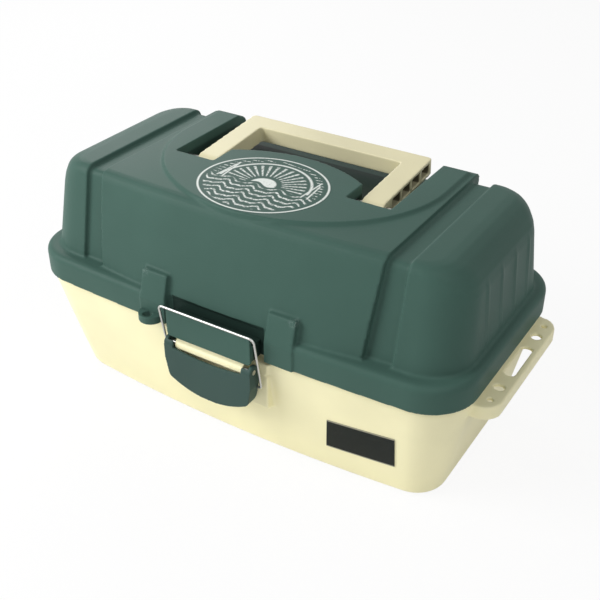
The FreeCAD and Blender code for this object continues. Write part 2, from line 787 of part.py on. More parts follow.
def tub_form(inset):
    """Tub from its floor to its rim; the rim leans in a little so that the lid lifts off."""
    floor_half = size("tub_floor_length") / 2
    floor_front = size("tub_floor_depth") / 2
    rim_half = skirt_half - size("lid_wall") - size("rim_gap")
    rim_front = skirt_front - size("lid_wall") - size("rim_gap")
    floor_radius = bow_radius(floor_half, size("tub_floor_corner"), size("tub_floor_bow"))
    rim_radius = bow_radius(skirt_half, size("skirt_corner"), size("skirt_bow"))
    rim = size("rim_level")
    top = ledge_underside if not inset else ledge_underside + size("overrun")
    turn = size("tub_round") - inset
    stations = []
    for step in range(EDGE_STEPS + 1):
        angle = math.pi / 2 * step / EDGE_STEPS
        stations.append((inset + turn * (1 - math.cos(angle)), turn * (1 - math.sin(angle))))
    stations += [(level, 0.0) for level in wall_levels(stations[-1][0], rim)[1:]]
    stations.append((top, 0.0))
    sections = []
    for level, drawn in stations:
        share = min(level / rim, 1.0)
        draft = size("rim_draft") * max(level - rim, 0.0) / (ledge_underside - rim)
        shrink = inset + drawn + draft
        half = floor_half + share * (rim_half - floor_half) - shrink
        front = floor_front + share * (rim_front - floor_front) - shrink
        corner = size("tub_floor_corner") - shrink
        corner += share * (size("rim_corner") - size("tub_floor_corner"))
        radius = floor_radius + share * (rim_radius - floor_radius) - shrink
        sections.append(outline(level, half, front, front, corner, radius))
    return Part.makeLoft(sections, True, True)


def rounded_block(low, high, corner):
    """Box with its upright edges rounded."""
    box = box_between(low, high)
    upright = [edge for edge in box.Edges
               if abs(edge.Vertexes[0].Z - edge.Vertexes[-1].Z) > size("overrun")]
    return box.makeFillet(corner, upright)


def rack():
    """Lure rack on the right end: a plate with an outer lip, and holes through the plate."""
    high = size("rack_level")
    low = high - size("rack_lip")
    outer = skirt_half + size("rack_reach")
    inner = skirt_half - size("skirt_corner")
    front = size("rack_centre") - size("rack_length") / 2
    rear = size("rack_centre") + size("rack_length") / 2
    thick = size("rack_thick")
    solid = rounded_block(Vector(inner, front, low), Vector(outer, rear, high),
                          size("rack_corner"))
    room = rounded_block(Vector(inner - thick, front + thick, low - size("overrun")),
                         Vector(outer - thick, rear - thick, high - thick),
                         size("rack_corner") - thick)
    solid = solid.cut(room)
    line = skirt_half + size("rack_hole_line")
    drill_low = high - 2 * thick
    depth = 3 * thick
    for radius, span in ((size("small_hole_radius"), size("small_hole_span")),
                         (size("large_hole_radius"), size("large_hole_span"))):
        for side in (-1, 1):
            place = size("rack_centre") + side * span / 2
            solid = solid.cut(Part.makeCylinder(radius, depth, Vector(line, place, drill_low)))
    half = size("slot_width") / 2
    reach = size("slot_length") / 2
    slot = rounded_block(Vector(line - half, size("rack_centre") - reach, drill_low),
                         Vector(line + half, size("rack_centre") + reach, drill_low + depth),
                         half * 0.95)
    return solid.cut(slot)


def latch_pad():
    """Upright pad on the base's front that the lever lies against."""
    half = size("pad_width") / 2
    front = size("pad_front")
    low = size("pad_low")
    foot = low - size("pad_foot")
    back = size("tub_floor_depth") / 2
    points = [(-front, size("rim_level")), (-front, low), (-back, foot),
              (-back, size("rim_level"))]
    pad = prism_along_x(points, -half, half)
    width = size("notch_width")
    start = half - size("notch_depth")
    inner = -front + width
    notch = box_between(Vector(start, inner, size("notch_low")),
                        Vector(half + size("overrun"), inner + width, size("notch_high")))
    toe = box_between(Vector(start, -front - size("overrun"), size("notch_low")),
                      Vector(half + size("overrun"), inner, size("notch_low") + width))
    for cut in (notch, toe):
        pad = pad.cut(cut).cut(mirrored(cut))
    return pad


def rim_recess():
    """Box cut from the rim behind the lid's latch pocket, and the wall that closes it."""
    wall = size("tub_wall")
    lid_inside = pocket_back - size("lid_wall")
    face = lid_inside - size("rim_recess_gap")
    half = size("pocket_width") / 2 + size("lid_wall") + size("rim_gap")
    low = size("rim_level")
    top = ledge_underside + size("overrun")
    reach = skirt_front + size("overrun")
    cut = box_between(Vector(-half, -reach, low), Vector(half, -face, top))
    fill = box_between(Vector(-half - wall, -face, low - wall),
                       Vector(half + wall, -face + wall, ledge_underside))
    shelf = box_between(Vector(-half - wall, -skirt_front + 2 * wall, low - wall),
                        Vector(half + wall, -face + wall, low))
    return cut, fill.fuse(shelf)


def mount_form():
    """Block on the pad between the lever's ears, with a bore for the lever's pin."""
    half = size("lever_slot_width") / 2 - size("block_gap")
    place = -size("lever_pivot_place")
    level = size("lever_pivot_level")
    radius = size("lever_block_radius")
    barrel = rod_along_x(radius, -half, half, place, level)
    face = place - size("lever_block_face")
    barrel = barrel.common(box_between(Vector(-half, face, level - radius),
                                       Vector(half, place + radius, level + radius)))
    back = -size("pad_front")
    web = box_between(Vector(-half, place, level - radius), Vector(half, back, size("rim_level")))
    bore = rod_along_x(size("lever_pin_radius"), -half - size("overrun"),
                       half + size("overrun"), place, level)
    return barrel.fuse(web).cut(bore).removeSplitter()


def arm_bosses():
    """Bosses inside the base's ends that carry the arms' pins, each with a rib under it."""
    solids = []
    rim_half = skirt_half - size("lid_wall") - size("rim_gap")
    end = rim_half - size("tub_wall") / 2
    for place in arm_places():
        boss = rod_along_x(size("boss_radius"), boss_inner, end, place.y, place.z)
        half = size("boss_rib_thick") / 2
        drop = place.z - size("boss_rib_level")
        floor_half = size("tub_floor_length") / 2
        lean = (rim_half - floor_half) / size("rim_level")
        low_end = end - lean * drop
        corners = [Vector(boss_inner, place.y - half, place.z),
                   Vector(low_end - size("tub_wall") / 2, place.y - half, place.z - drop),
                   Vector(low_end, place.y - half, place.z - drop),
                   Vector(end, place.y - half, place.z)]
        face = Part.Face(Part.makePolygon(corners + corners[:1]))
        rib = face.extrude(Vector(0, 2 * half, 0))
        hole = rod_along_x(size("pivot_radius"), boss_inner - size("overrun"),
                           base_pin_end(), place.y, place.z)
        solid = boss.fuse(rib).cut(hole)
        solids += [solid, mirrored(solid)]
    return solids


def base_pin_end():
    return boss_inner + size("boss_radius")


def make_base():
    wall = size("tub_wall")
    outside = tub_form(0)
    body = outside.fuse(latch_pad()).cut(tub_form(wall))
    cut, fill = rim_recess()
    body = body.cut(cut).multiFuse([fill] + base_knuckles() + arm_bosses())
    for bore in hinge_bores():
        body = body.cut(bore)
    add_solid("base_tub", body.removeSplitter())
    add_solid("lever_mount", mount_form())
    right_rack = rack().cut(outside).removeSplitter()
    add_solid("lure_rack_right", right_rack)
    add_solid("lure_rack_left", mirrored(right_rack))


# Sketched pieces

def value_of(holder, text):
    return float(holder.evalExpression(text))


def add_body(name):
    body = doc.addObject("PartDesign::Body", name)
    body.Label = name
    return body


def add_sketch(body, name, plane="XY_Plane", offset="0"):
    """Sketch on one of the body's own planes, moved along the plane's normal by offset."""
    sketch = body.newObject("Sketcher::SketchObject", name)
    support = next(item for item in body.Origin.OriginFeatures if item.Role == plane)
    sketch.AttachmentSupport = (support, "")
    sketch.MapMode = "FlatFace"
    sketch.setExpression(".AttachmentOffset.Base.z", offset)
    return sketch


def fix_point(sketch, geometry, end, across, along):
    """Hold one point of a sketch at two expressions, measured from the sketch's origin."""
    for kind, text in (("DistanceX", across), ("DistanceY", along)):
        index = sketch.addConstraint(
            Sketcher.Constraint(kind, -1, 1, geometry, end, value_of(sketch, text)))
        sketch.setExpression(f"Constraints[{index}]", text)


def add_polygon(sketch, corners):
    """Closed polygon whose corners are pairs of expressions."""
    points = [Vector(value_of(sketch, across), value_of(sketch, along), 0)
              for across, along in corners]
    lines = []
    for index, point in enumerate(points):
        following = points[(index + 1) % len(points)]
        lines.append(sketch.addGeometry(Part.LineSegment(point, following), False))
    for index, line in enumerate(lines):
        after = lines[(index + 1) % len(lines)]
        sketch.addConstraint(Sketcher.Constraint("Coincident", line, 2, after, 1))
        fix_point(sketch, line, 1, *corners[index])


def add_rectangle(sketch, left, right, low, high):
    add_polygon(sketch, [(left, low), (right, low), (right, high), (left, high)])


def add_circle(sketch, across, along, radius):
    centre = Vector(value_of(sketch, across), value_of(sketch, along), 0)
    circle = sketch.addGeometry(
        Part.Circle(centre, Vector(0, 0, 1), value_of(sketch, radius)), False)
    fix_point(sketch, circle, 3, across, along)
    index = sketch.addConstraint(
        Sketcher.Constraint("Radius", circle, value_of(sketch, radius)))
    sketch.setExpression(f"Constraints[{index}]", radius)


def add_pad(body, sketch, name, length):
    pad = body.newObject("PartDesign::Pad", name)
    pad.Profile = sketch
    pad.setExpression("Length", length)
    body.Tip = pad
    doc.recompute()
    return pad


def add_pocket(body, sketch, name, length, reverse=False):
    """Pocket of a given depth; the volume shows whether it cut anything."""
    before = body.Shape.Volume
    pocket = body.newObject("PartDesign::Pocket", name)
    pocket.Profile = sketch
    pocket.setExpression("Length", length)
    pocket.Reversed = reverse
    body.Tip = pocket
    doc.recompute()
    if body.Shape.Volume >= before:
        raise ValueError(f"{body.Label}: {name} cut nothing")
    return pocket


def add_fillet(body, name, radius, wanted):
    """Fillet on the edges that the test picks."""
    tip = body.Tip
    names = [f"Edge{index}" for index, edge in enumerate(tip.Shape.Edges, start=1)
             if wanted(edge)]
    fillet = body.newObject("PartDesign::Fillet", name)
    fillet.Base = (tip, names)
    fillet.setExpression("Radius", radius)
    body.Tip = fillet
    doc.recompute()
    return fillet


def is_upright(edge):
    first, last = edge.Vertexes[0].Point, edge.Vertexes[-1].Point
    flat = math.hypot(first.x - last.x, first.y - last.y)
    return flat < size("overrun") / 100 and abs(first.z - last.z) > size("overrun")


def make_bar(name, reach, width, thick, holes, placement):
    """Flat bar with round ends, and a hole at each (distance, radius)."""
    body = add_body(name)
    middle = add_sketch(body, f"{name}_middle")
    add_rectangle(middle, "0", reach, f"-{width} / 2", f"{width} / 2")
    add_pad(body, middle, f"{name}_bar", thick)
    for label, place in (("near", "0"), ("far", reach)):
        end = add_sketch(body, f"{name}_{label}")
        add_circle(end, place, "0", f"{width} / 2")
        add_pad(body, end, f"{name}_{label}_end", thick)
    drill = add_sketch(body, f"{name}_holes")
    for place, radius in holes:
        add_circle(drill, place, "0", radius)
    add_pocket(body, drill, f"{name}_drill", thick, reverse=True)
    body.Placement = placement
    return body


def bar_placement(point, direction, station):
    """Placement that lays a bar along a direction in the YZ plane, its thickness along +X."""
    across = ALONG_X.cross(direction)
    turn = FreeCAD.Rotation(direction, across, ALONG_X, "ZXY")
    return FreeCAD.Placement(Vector(station, point.y, point.z), turn)


def make_arms():
    running = "(sizes.pivot_radius + sizes.running_gap)"
    tray_holes = [(cell(f"{tray}_reach"), running) for tray in TRAYS]
    link_hole = [("sizes.link_reach", "sizes.pivot_radius")]
    for label, place, extra in (("front", arm_places()[0], []), ("rear", arm_places()[1], link_hole)):
        holes = [("0", running)] + tray_holes + extra
        for side, station in (("left", -arm_outer), ("right", arm_inner)):
            make_bar(f"{label}_arm_{side}", cell("upper_reach"), "sizes.arm_width",
                     "sizes.arm_thick", holes, bar_placement(place, arm_direction, station))


def make_links():
    start = link_arm_point()
    direction = (link_lid_point() - start).normalize()
    length = (f"sqrt((sizes.skirt_depth / 2 + sizes.hinge_stand - {cell('rear_arm_place')}) ^ 2"
              f" + ({cell('lid_edge_level')} - sizes.hinge_drop - {cell('arm_level')}) ^ 2)")
    running = "(sizes.pivot_radius + sizes.running_gap)"
    for side, station in (("left", -link_outer), ("right", link_inner)):
        make_bar(f"lid_link_{side}", length, "sizes.link_width", "sizes.link_thick",
                 [("0", running), (length, running)],
                 bar_placement(start, direction, station))


def make_tray(tray):
    """Tray with moulded compartments, and holes for its rivets in the end walls."""
    name = f"{tray}_tray"
    body = add_body(name)
    front, rear = f"-{cell(tray + '_front')}", cell(f"{tray}_rear")
    length = cell("tray_length")
    sketch = add_sketch(body, f"{name}_outline")
    add_rectangle(sketch, f"-{length} / 2", f"{length} / 2", front, rear)
    add_pad(body, sketch, f"{name}_block", cell("tray_height"))
    add_fillet(body, f"{name}_corners", "sizes.tray_corner", is_upright)
    across, along = TRAY_CELLS[tray]
    cells = add_sketch(body, f"{name}_cells", offset="sizes.tray_wall")
    width = f"(({length} - 2 * sizes.tray_wall + sizes.tray_divider) / {across})"
    depth = f"(({rear} - ({front}) - 2 * sizes.tray_wall + sizes.tray_divider) / {along})"
    for column in range(across):
        left = f"-{length} / 2 + sizes.tray_wall + {column} * {width}"
        right = f"{left} + {width} - sizes.tray_divider"
        for row in range(along):
            low = f"{front} + sizes.tray_wall + {row} * {depth}"
            high = f"{low} + {depth} - sizes.tray_divider"
            add_rectangle(cells, left, right, low, high)
    add_pocket(body, cells, f"{name}_compartments", cell("tray_height"), reverse=True)
    for end, offset, reverse in (("left", f"-{length} / 2 - sizes.overrun", True),
                                 ("right", f"{length} / 2 + sizes.overrun", False)):
        drill = add_sketch(body, f"{name}_{end}_holes", plane="YZ_Plane", offset=offset)
        for arm in ("front", "rear"):
            place = (f"({cell(arm + '_arm_place')}"
                     f" - {cell(tray + '_reach')} * cos(sizes.arm_start_angle))")
            add_circle(drill, place, f"sizes.{tray}_pin_height", "sizes.pivot_radius")
        add_pocket(body, drill, f"{name}_{end}_drill", "sizes.tray_wall + 2 * sizes.overrun",
                   reverse=reverse)
    body.Placement = FreeCAD.Placement(Vector(0, 0, size(f"{tray}_level")), FreeCAD.Rotation())


# Pins and rivets

def turned_pin(point, parts):
    """Pin along X from (radius, start, end) stretches, on the right-hand side."""
    stretches = [pin_along_x(radius, start, end, point.y, point.z)
                 for radius, start, end in parts]
    solid = stretches[0]
    for stretch in stretches[1:]:
        solid = solid.fuse(stretch)
    return solid.removeSplitter()


def add_pins(name, points, parts):
    """One node of like pins: each on the right and mirrored to the left."""
    solids = []
    for point in points:
        solid = turned_pin(point, parts)
        solids += [solid, mirrored(solid)]
    add_solid(name, Part.makeCompound(solids))


def make_pins():
    radius = size("pivot_radius")
    head = size("pivot_head_radius")
    thick = size("pivot_head_thick")
    seat = size("tray_length") / 2 - size("tray_wall")
    slack = size("running_gap") * 2
    for tray in TRAYS:
        reach = size(f"{tray}_reach")
        points = [place + arm_direction * reach for place in arm_places()]
        add_pins(f"{tray}_tray_rivets", points,
                 [(head, seat - thick, seat), (radius, seat - thick, arm_outer + slack + thick),
                  (head, arm_outer + slack, arm_outer + slack + thick)])
    add_pins("base_arm_pins", arm_places(),
             [(head, arm_inner - slack - size("side_gap"), arm_inner - slack),
              (radius, arm_inner - slack - size("side_gap"), base_pin_end())])
    add_pins("link_arm_rivets", [link_arm_point()],
             [(radius, arm_inner, link_outer + slack + thick),
              (head, link_outer + slack, link_outer + slack + thick)])
    add_pins("link_lid_rivets", [link_lid_point()],
             [(head, link_inner - slack - thick, link_inner - slack),
              (radius, link_inner - slack - thick, boss_hole_end())])
    first, last = knuckle_stations()[0][0][0], knuckle_stations()[0][1][1]
    add_pins("hinge_rods", [Vector(0, hinge_place, hinge_level)],
             [(size("rod_radius"), first, last)])
    inner, outer = handle_pin_stations()
    add_pins("handle_pins", [Vector(0, size("handle_pivot_place"), size("handle_pivot_level"))],
             [(size("handle_pin_radius"), inner, outer)])
    half = size("lever_width") / 2 - size("running_gap")
    add_solid("lever_pin", rod_along_x(size("lever_pin_radius"), -half, half,
                                       -size("lever_pivot_place"), size("lever_pivot_level")))


# Handle

def make_handle():
    """U-shaped handle, hollow on its outer sides with ribs across the hollows."""
    body = add_body("carry_handle")
    half = f"{cell('handle_width')} / 2"
    inner = f"({half} - sizes.handle_arm)"
    rear = cell("handle_reach")
    crotch = f"({rear} - sizes.handle_grip)"
    plan = add_sketch(body, "handle_plan", offset="-sizes.handle_thick / 2")
    add_polygon(plan, [(f"-{half}", "0"), (f"-{inner}", "0"), (f"-{inner}", crotch),
                       (inner, crotch), (inner, "0"), (half, "0"), (half, rear),
                       (f"-{half}", rear)])
    add_pad(body, plan, "handle_frame", "sizes.handle_thick")
    for label, left, right in (("left", f"-{half}", f"-{inner}"), ("right", inner, half)):
        end = add_sketch(body, f"handle_{label}_end", plane="YZ_Plane", offset=left)
        add_circle(end, "0", "0", "sizes.handle_thick / 2")
        add_pad(body, end, f"handle_{label}_eye", f"{right} - ({left})")
    add_fillet(body, "handle_corners", "2 * sizes.handle_round",
               lambda edge: is_upright(edge) and edge.Vertexes[0].Y > size("handle_thick"))
    ribs = 4
    hollow_start = "(sizes.handle_thick / 2 + sizes.handle_skin)"
    hollow_end = f"({rear} - sizes.handle_skin - sizes.handle_round * 2)"
    pitch = f"(({hollow_end} - {hollow_start} + sizes.handle_rib) / {ribs})"
    low = "-sizes.handle_thick / 2 + sizes.handle_skin"
    high = "sizes.handle_thick / 2 - sizes.handle_skin"
    depth = "sizes.handle_arm - sizes.handle_skin"
    for label, station, reverse in (("left", f"-{half}", True), ("right", half, False)):
        side = add_sketch(body, f"handle_{label}_side", plane="YZ_Plane", offset=station)
        for hollow in range(ribs):
            start = f"{hollow_start} + {hollow} * {pitch}"
            add_rectangle(side, start, f"{start} + {pitch} - sizes.handle_rib", low, high)
        add_pocket(body, side, f"handle_{label}_hollows", depth, reverse=reverse)
    bore = add_sketch(body, "handle_bore", plane="YZ_Plane", offset=f"-{half} - sizes.overrun")
    add_circle(bore, "0", "0", "sizes.handle_pin_radius + sizes.running_gap")
    add_pocket(body, bore, "handle_bore_cut", f"{cell('handle_width')} + 2 * sizes.overrun",
               reverse=True)
    turn = FreeCAD.Rotation(ALONG_X, size("handle_tilt"))
    body.Placement = FreeCAD.Placement(
        Vector(0, size("handle_pivot_place"), size("handle_pivot_level")), turn)


# Latch

def lever_face(inset, depth):
    """The lever's front outline, shrunk by inset and extruded rearwards by depth."""
    half = size("lever_width") / 2 - inset
    foot = size("lever_foot_width") / 2 - inset
    front = -size("lever_front")
    top = size("lever_pivot_level") + size("lever_ear_radius") + inset
    side_low = size("lever_side_low")
    right = [Vector(half, front, top), Vector(half, front, size("lever_knee")),
             Vector(foot, front, side_low)]
    left = [Vector(-point.x, point.y, point.z) for point in reversed(right)]
    bottom = Part.Arc(right[2], Vector(0, front, size("lever_low") + inset), left[0])
    sides = Part.makePolygon(left + right)
    face = Part.Face(Part.Wire(sides.Edges + [bottom.toShape()]))
    solid = face.extrude(Vector(0, depth, 0))
    slack = size("running_gap")
    corners = [edge for edge in solid.Edges
               if all(abs(vertex.Z - side_low) < slack for vertex in edge.Vertexes)
               and abs(edge.Vertexes[0].X - edge.Vertexes[-1].X) < slack]
    return solid.makeFillet(size("lever_corner") - inset, corners)


def lever_slot():
    """Slot between the ears, with a lower edge that bows down, open at the top."""
    half = size("lever_slot_width") / 2
    front = -size("lever_front") - size("overrun")
    top = size("lever_pivot_level") + size("lever_ear_radius") + size("overrun")
    left = Vector(-half, front, size("lever_slot_side"))
    right = Vector(half, front, size("lever_slot_side"))
    bow = Part.Arc(left, Vector(0, front, size("lever_slot_middle")), right)
    sides = Part.makePolygon([right, Vector(half, front, top), Vector(-half, front, top), left])
    face = Part.Face(Part.Wire(sides.Edges + [bow.toShape()]))
    return face.extrude(Vector(0, size("lever_depth") + 2 * size("overrun"), 0))


def make_lever():
    """Lever: a front plate with a bowed lower edge, side flanges and two ears."""
    half = size("lever_width") / 2
    front = -size("lever_front")
    rear = front + size("lever_depth")
    place = -size("lever_pivot_place")
    level = size("lever_pivot_level")
    ear_radius = size("lever_ear_radius")
    beyond = size("overrun")
    solid = lever_face(0, size("lever_depth"))
    room = lever_face(size("lever_flange"), size("lever_depth"))
    room.translate(Vector(0, size("lever_plate"), 0))
    lip = front + size("lever_lip")
    low = size("lever_low") - beyond
    heel = prism_along_x([(lip, low), (rear + beyond, low),
                          (rear + beyond, size("lever_flange_rear_low")),
                          (lip, size("lever_flange_front_low"))], -half, half)
    ear = rod_along_x(ear_radius, -half, half, place, level)
    above = box_between(Vector(-half, front - beyond, level),
                        Vector(half, rear + beyond, level + ear_radius + beyond))
    for cut in (room, heel, lever_slot(), above.cut(ear)):
        solid = solid.cut(cut)
    running = size("running_gap")
    for radius, hole_place, hole_level in (
            (size("lever_pin_radius"), place, level),
            (size("wire_radius"), -size("bail_pivot_place"), size("bail_pivot_level"))):
        solid = solid.cut(rod_along_x(radius + running, -half - beyond, half + beyond,
                                      hole_place, hole_level))
    add_solid("latch_lever", solid)


def make_bail():
    """Bent wire: a wide U whose ends turn in to the lever's flanges."""
    side = size("bail_width") / 2
    end = size("lever_width") / 2 - size("lever_flange")
    base = Vector(0, -size("bail_pivot_place"), size("bail_pivot_level"))
    top_place = -(size("keeper_front") + size("wire_gap") + size("wire_radius"))
    top = Vector(0, top_place, size("keeper_high") + size("bail_rise"))
    turn = size("wire_bend")
    small_turn = turn / 2
    rise = (top - base).normalize()
    out = ALONG_X
    radius = size("wire_radius")
    diagonal = 1 - math.sqrt(0.5)
    right_low = base + out * side
    right_high = top + out * side
    points = {
        "start": base + out * end,
        "low_in": right_low - out * small_turn,
        "low_mid": right_low + (rise - out) * small_turn * diagonal,
        "low_out": right_low + rise * small_turn,
        "high_in": right_high - rise * turn,
        "high_mid": right_high - (rise + out) * turn * diagonal,
        "high_out": right_high - out * turn,
    }
    right = [
        Part.LineSegment(points["start"], points["low_in"]).toShape(),
        Part.Arc(points["low_in"], points["low_mid"], points["low_out"]).toShape(),
        Part.LineSegment(points["low_out"], points["high_in"]).toShape(),
        Part.Arc(points["high_in"], points["high_mid"], points["high_out"]).toShape(),
        Part.LineSegment(points["high_out"], top).toShape(),
    ]
    path = Part.Wire(right)
    corners = []
    for flat in range(WIRE_SIDES):
        angle = 2 * math.pi * flat / WIRE_SIDES
        corners.append(points["start"]
                       + Vector(0, radius * math.cos(angle), radius * math.sin(angle)))
    profile = Part.makePolygon(corners + corners[:1])
    half = path.makePipeShell([profile], True, False)
    whole = half.fuse(mirrored(half)).removeSplitter()
    add_solid("latch_bail", whole)


# Build, check and write

def build_all():
    make_base()
    make_lid()
    make_arms()
    make_links()
    for tray in TRAYS:
        make_tray(tray)
    make_pins()
    make_handle()
    make_lever()
    make_bail()
    doc.recompute()


def sub_parts():
    return [item for item in doc.Objects
            if item.TypeId in ("PartDesign::Body", "Part::Feature")]


def check_all():
    for item in doc.Objects:
        if "Invalid" in item.State or "Error" in item.State:
            raise ValueError(f"{item.Label} failed: {item.State}")
    for item in sub_parts():
        if item.Shape.isNull() or not item.Shape.isValid() or item.Shape.Volume <= 0:
            raise ValueError(f"{item.Label} has no valid solid")


def write_all():
    os.makedirs("parts", exist_ok=True)
    for item in sub_parts():
        item.Shape.exportStep(f"parts/{item.Label}.step")
        box = item.Shape.BoundBox
        print(item.Label, len(item.Shape.Solids), "solids", round(item.Shape.Volume, 1), "mm3",
              [round(value, 1) for value in (box.XMin, box.YMin, box.ZMin,
                                             box.XMax, box.YMax, box.ZMax)])


build_all()
check_all()
write_all()
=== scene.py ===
"""Tackle box with a green hooded lid on a cream base, dressed for a plain studio."""
import json
import math

import bmesh
import bpy
import numpy as np
from bpy.props import FloatProperty, FloatVectorProperty, IntProperty, PointerProperty
from mathutils import Matrix, Vector
from mathutils.bvhtree import BVHTree


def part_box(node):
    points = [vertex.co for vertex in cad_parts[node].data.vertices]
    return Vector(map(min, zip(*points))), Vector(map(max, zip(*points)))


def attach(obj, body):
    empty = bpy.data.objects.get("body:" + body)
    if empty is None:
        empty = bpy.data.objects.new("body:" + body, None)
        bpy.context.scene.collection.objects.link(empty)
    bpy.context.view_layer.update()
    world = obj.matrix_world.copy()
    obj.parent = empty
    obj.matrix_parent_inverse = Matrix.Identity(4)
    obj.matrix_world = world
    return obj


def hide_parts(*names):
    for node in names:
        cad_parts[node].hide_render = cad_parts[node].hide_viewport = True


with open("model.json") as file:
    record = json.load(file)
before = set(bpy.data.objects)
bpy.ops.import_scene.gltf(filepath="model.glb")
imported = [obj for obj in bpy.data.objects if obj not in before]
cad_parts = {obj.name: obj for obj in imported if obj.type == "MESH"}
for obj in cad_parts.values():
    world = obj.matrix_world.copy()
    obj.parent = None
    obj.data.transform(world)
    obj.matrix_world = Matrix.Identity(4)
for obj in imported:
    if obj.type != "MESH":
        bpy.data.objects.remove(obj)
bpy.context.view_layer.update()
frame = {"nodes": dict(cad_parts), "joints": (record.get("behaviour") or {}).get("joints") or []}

bl_info = {
    "name": "Tackle Box",
    "version": (1, 0, 0),
    "blender": (4, 5, 0),
    "location": "3D Viewport > Sidebar > Tackle Box",
    "description": "Moulded plastic, steel and print finishes for a tackle box",
    "category": "Object",
}

MOST_TRIANGLES = 190000
LEAST_TRIANGLES = 500
# Metres: distance under which doubled vertices are one
WELD = 1e-6
# Radians: the turn over which an edge is shaded sharp, and the one for bevels and bent wire
CREASE = math.radians(40.0)
BEVEL_CREASE = math.radians(50.0)
# Metres: levels between which the lid's end walls are ribbed, and how far the ribs fade there
RIB_TOP = 0.186
RIB_FOOT = 0.131
RIB_TOP_FADE = 0.012
RIB_FOOT_FADE = 0.004
# Metres across for each metre down: the end walls' lean
WALL_LEAN = 0.078
# Metres: how far inside a wall's face the ribs are still raised, and how far they fade there
WALL_MARGIN = 0.0025
WALL_FADE = 0.0010
# Metres: room for the handle in the lid, where shade is painted, as its lowest and highest corners,
# and its mask's fade
WELL_SHADE_BOX = ((-0.1015, -0.0145, 0.1818), (0.1015, 0.0750, 0.1990))
WELL_SHADE_SOFT = 0.002
# Metres: the handle's pivot as (y, z), the handle's slope, and its hollows' half height and sides
HANDLE_PIVOT = (0.005, 0.1935)
HANDLE_SLOPE = 0.0813
HOLLOW_HALF_HEIGHT = 0.0046
HOLLOW_SIDES = (0.0702, 0.0870)
HOLLOW_SOFT = 0.0004
HOLLOW_OUTER_SOFT = 0.0010
# Metres: how far the pocket behind the keeper, where shade is painted, reaches past the keeper's box
# at its lowest and highest corners
POCKET_SHADE_REACH = ((-0.004, 0.0035, -0.002), (0.004, 0.002, 0.004))
POCKET_SHADE_SOFT = 0.0008
# Metres: the gate mark left of the latch, a small blind hole whose shade is painted, and the corner
# of the right tab, mirrored left, pale with wear and a painted highlight
GATE_HOLE_SHADE = (-0.102, -0.0945, 0.134)
GATE_HOLE_SHADE_RADIUS = 0.0030
TAB_CORNER = (0.0705, -0.0985, 0.1435)
TAB_CORNER_RADIUS = 0.0065
# Linear colours of the painted shade in the handle's hollows, and of the tab corners, pale with wear
# and a painted highlight
HOLLOW_SHADE_TONE = (0.035, 0.026, 0.014, 1.0)
WEAR_AND_HIGHLIGHT_TONE = (0.55, 0.62, 0.60, 1.0)
# Cells per metre in the lid's grain, and how much the lid's plastic mirrors
LID_GRAIN = 850.0
LID_SHEEN = 0.08
# Metres: how deep the emblem's disc sits in the platform, and its thickness
EMBLEM_SINK = 0.0001
EMBLEM_THICKNESS = 0.0002
EMBLEM_ROUGHNESS = 0.46
# Wave rows and cloud rows in half of the oval's depth, and sun rays in a radian
WAVE_ROWS = 7.2
RAY_TURNS = 5.4113
CLOUD_ROWS = 11.0
# Each reed's foot across the oval, its lean and its top, in halves of the oval
REEDS = ((-0.74, 0.10, 0.42), (-0.66, -0.06, 0.50), (0.68, 0.05, 0.52), (0.77, -0.08, 0.40))
# Faces along and up the bare plate
PLATE_COLUMNS = 28
PLATE_ROWS = 30
# Metres: a place in front of the box, and the plate's gap off the base's wall
IN_FRONT = -0.3
PLATE_GAP = 0.0001
# Metres: corners of the bare plate on the base's front, as (x, z) from the top left, clockwise
PLATE_CORNERS = ((0.0951, 0.0601), (0.1515, 0.0652), (0.1497, 0.0322), (0.0917, 0.0285))
# Metres: half of the floor, and its level just under the feet
FLOOR_HALF = 4.0
FLOOR_LEVEL = -0.0004
# Share of the floor's own white that the camera sees, and that shiny pieces mirror
FLOOR_SEEN = 0.9
FLOOR_MIRRORED = 0.3
# Metres and degrees: the camera's place, its pitch under the horizon and its yaw
CAMERA_PLACE = (0.37364, -0.57123, 0.52452)
CAMERA_PITCH = 32.756
CAMERA_YAW = 32.261
# Metres: each lamp's place and width, and the setting that holds its power
LAMPS = (
    ("key light", (-1.05, -1.00, 0.95), 1.0, "key_power"),
    ("back light", (-1.10, 0.90, 0.85), 0.7, "back_power"),
    ("top light", (0.85, -0.45, 1.10), 1.0, "top_power"),
)
LAMP_AIM = (0.0, 0.0, 0.09)
# Nodes moulded in one piece with the base
BASE_NODES = ("base_tub", "lure_rack_right", "lure_rack_left")
TRAYS = ("lower_tray", "middle_tray", "upper_tray")
STEEL_NODES = ("front_arm_left", "front_arm_right", "rear_arm_left", "rear_arm_right",
               "lid_link_left", "lid_link_right", "lower_tray_rivets", "middle_tray_rivets",
               "upper_tray_rivets", "base_arm_pins", "link_arm_rivets", "link_lid_rivets",
               "hinge_rods", "handle_pins", "lever_pin")


# Shader maths

class Value:
    """A socket of numbers, so that shader sums are written as Python sums."""

    def __init__(self, finish, socket):
        self.finish = finish
        self.socket = socket

    def __add__(self, other):
        return self.finish.math("ADD", self, other)

    def __radd__(self, other):
        return self.finish.math("ADD", other, self)

    def __sub__(self, other):
        return self.finish.math("SUBTRACT", self, other)

    def __rsub__(self, other):
        return self.finish.math("SUBTRACT", other, self)

    def __mul__(self, other):
        return self.finish.math("MULTIPLY", self, other)

    def __rmul__(self, other):
        return self.finish.math("MULTIPLY", other, self)

    def __truediv__(self, other):
        return self.finish.math("DIVIDE", self, other)

    def __rtruediv__(self, other):
        return self.finish.math("DIVIDE", other, self)


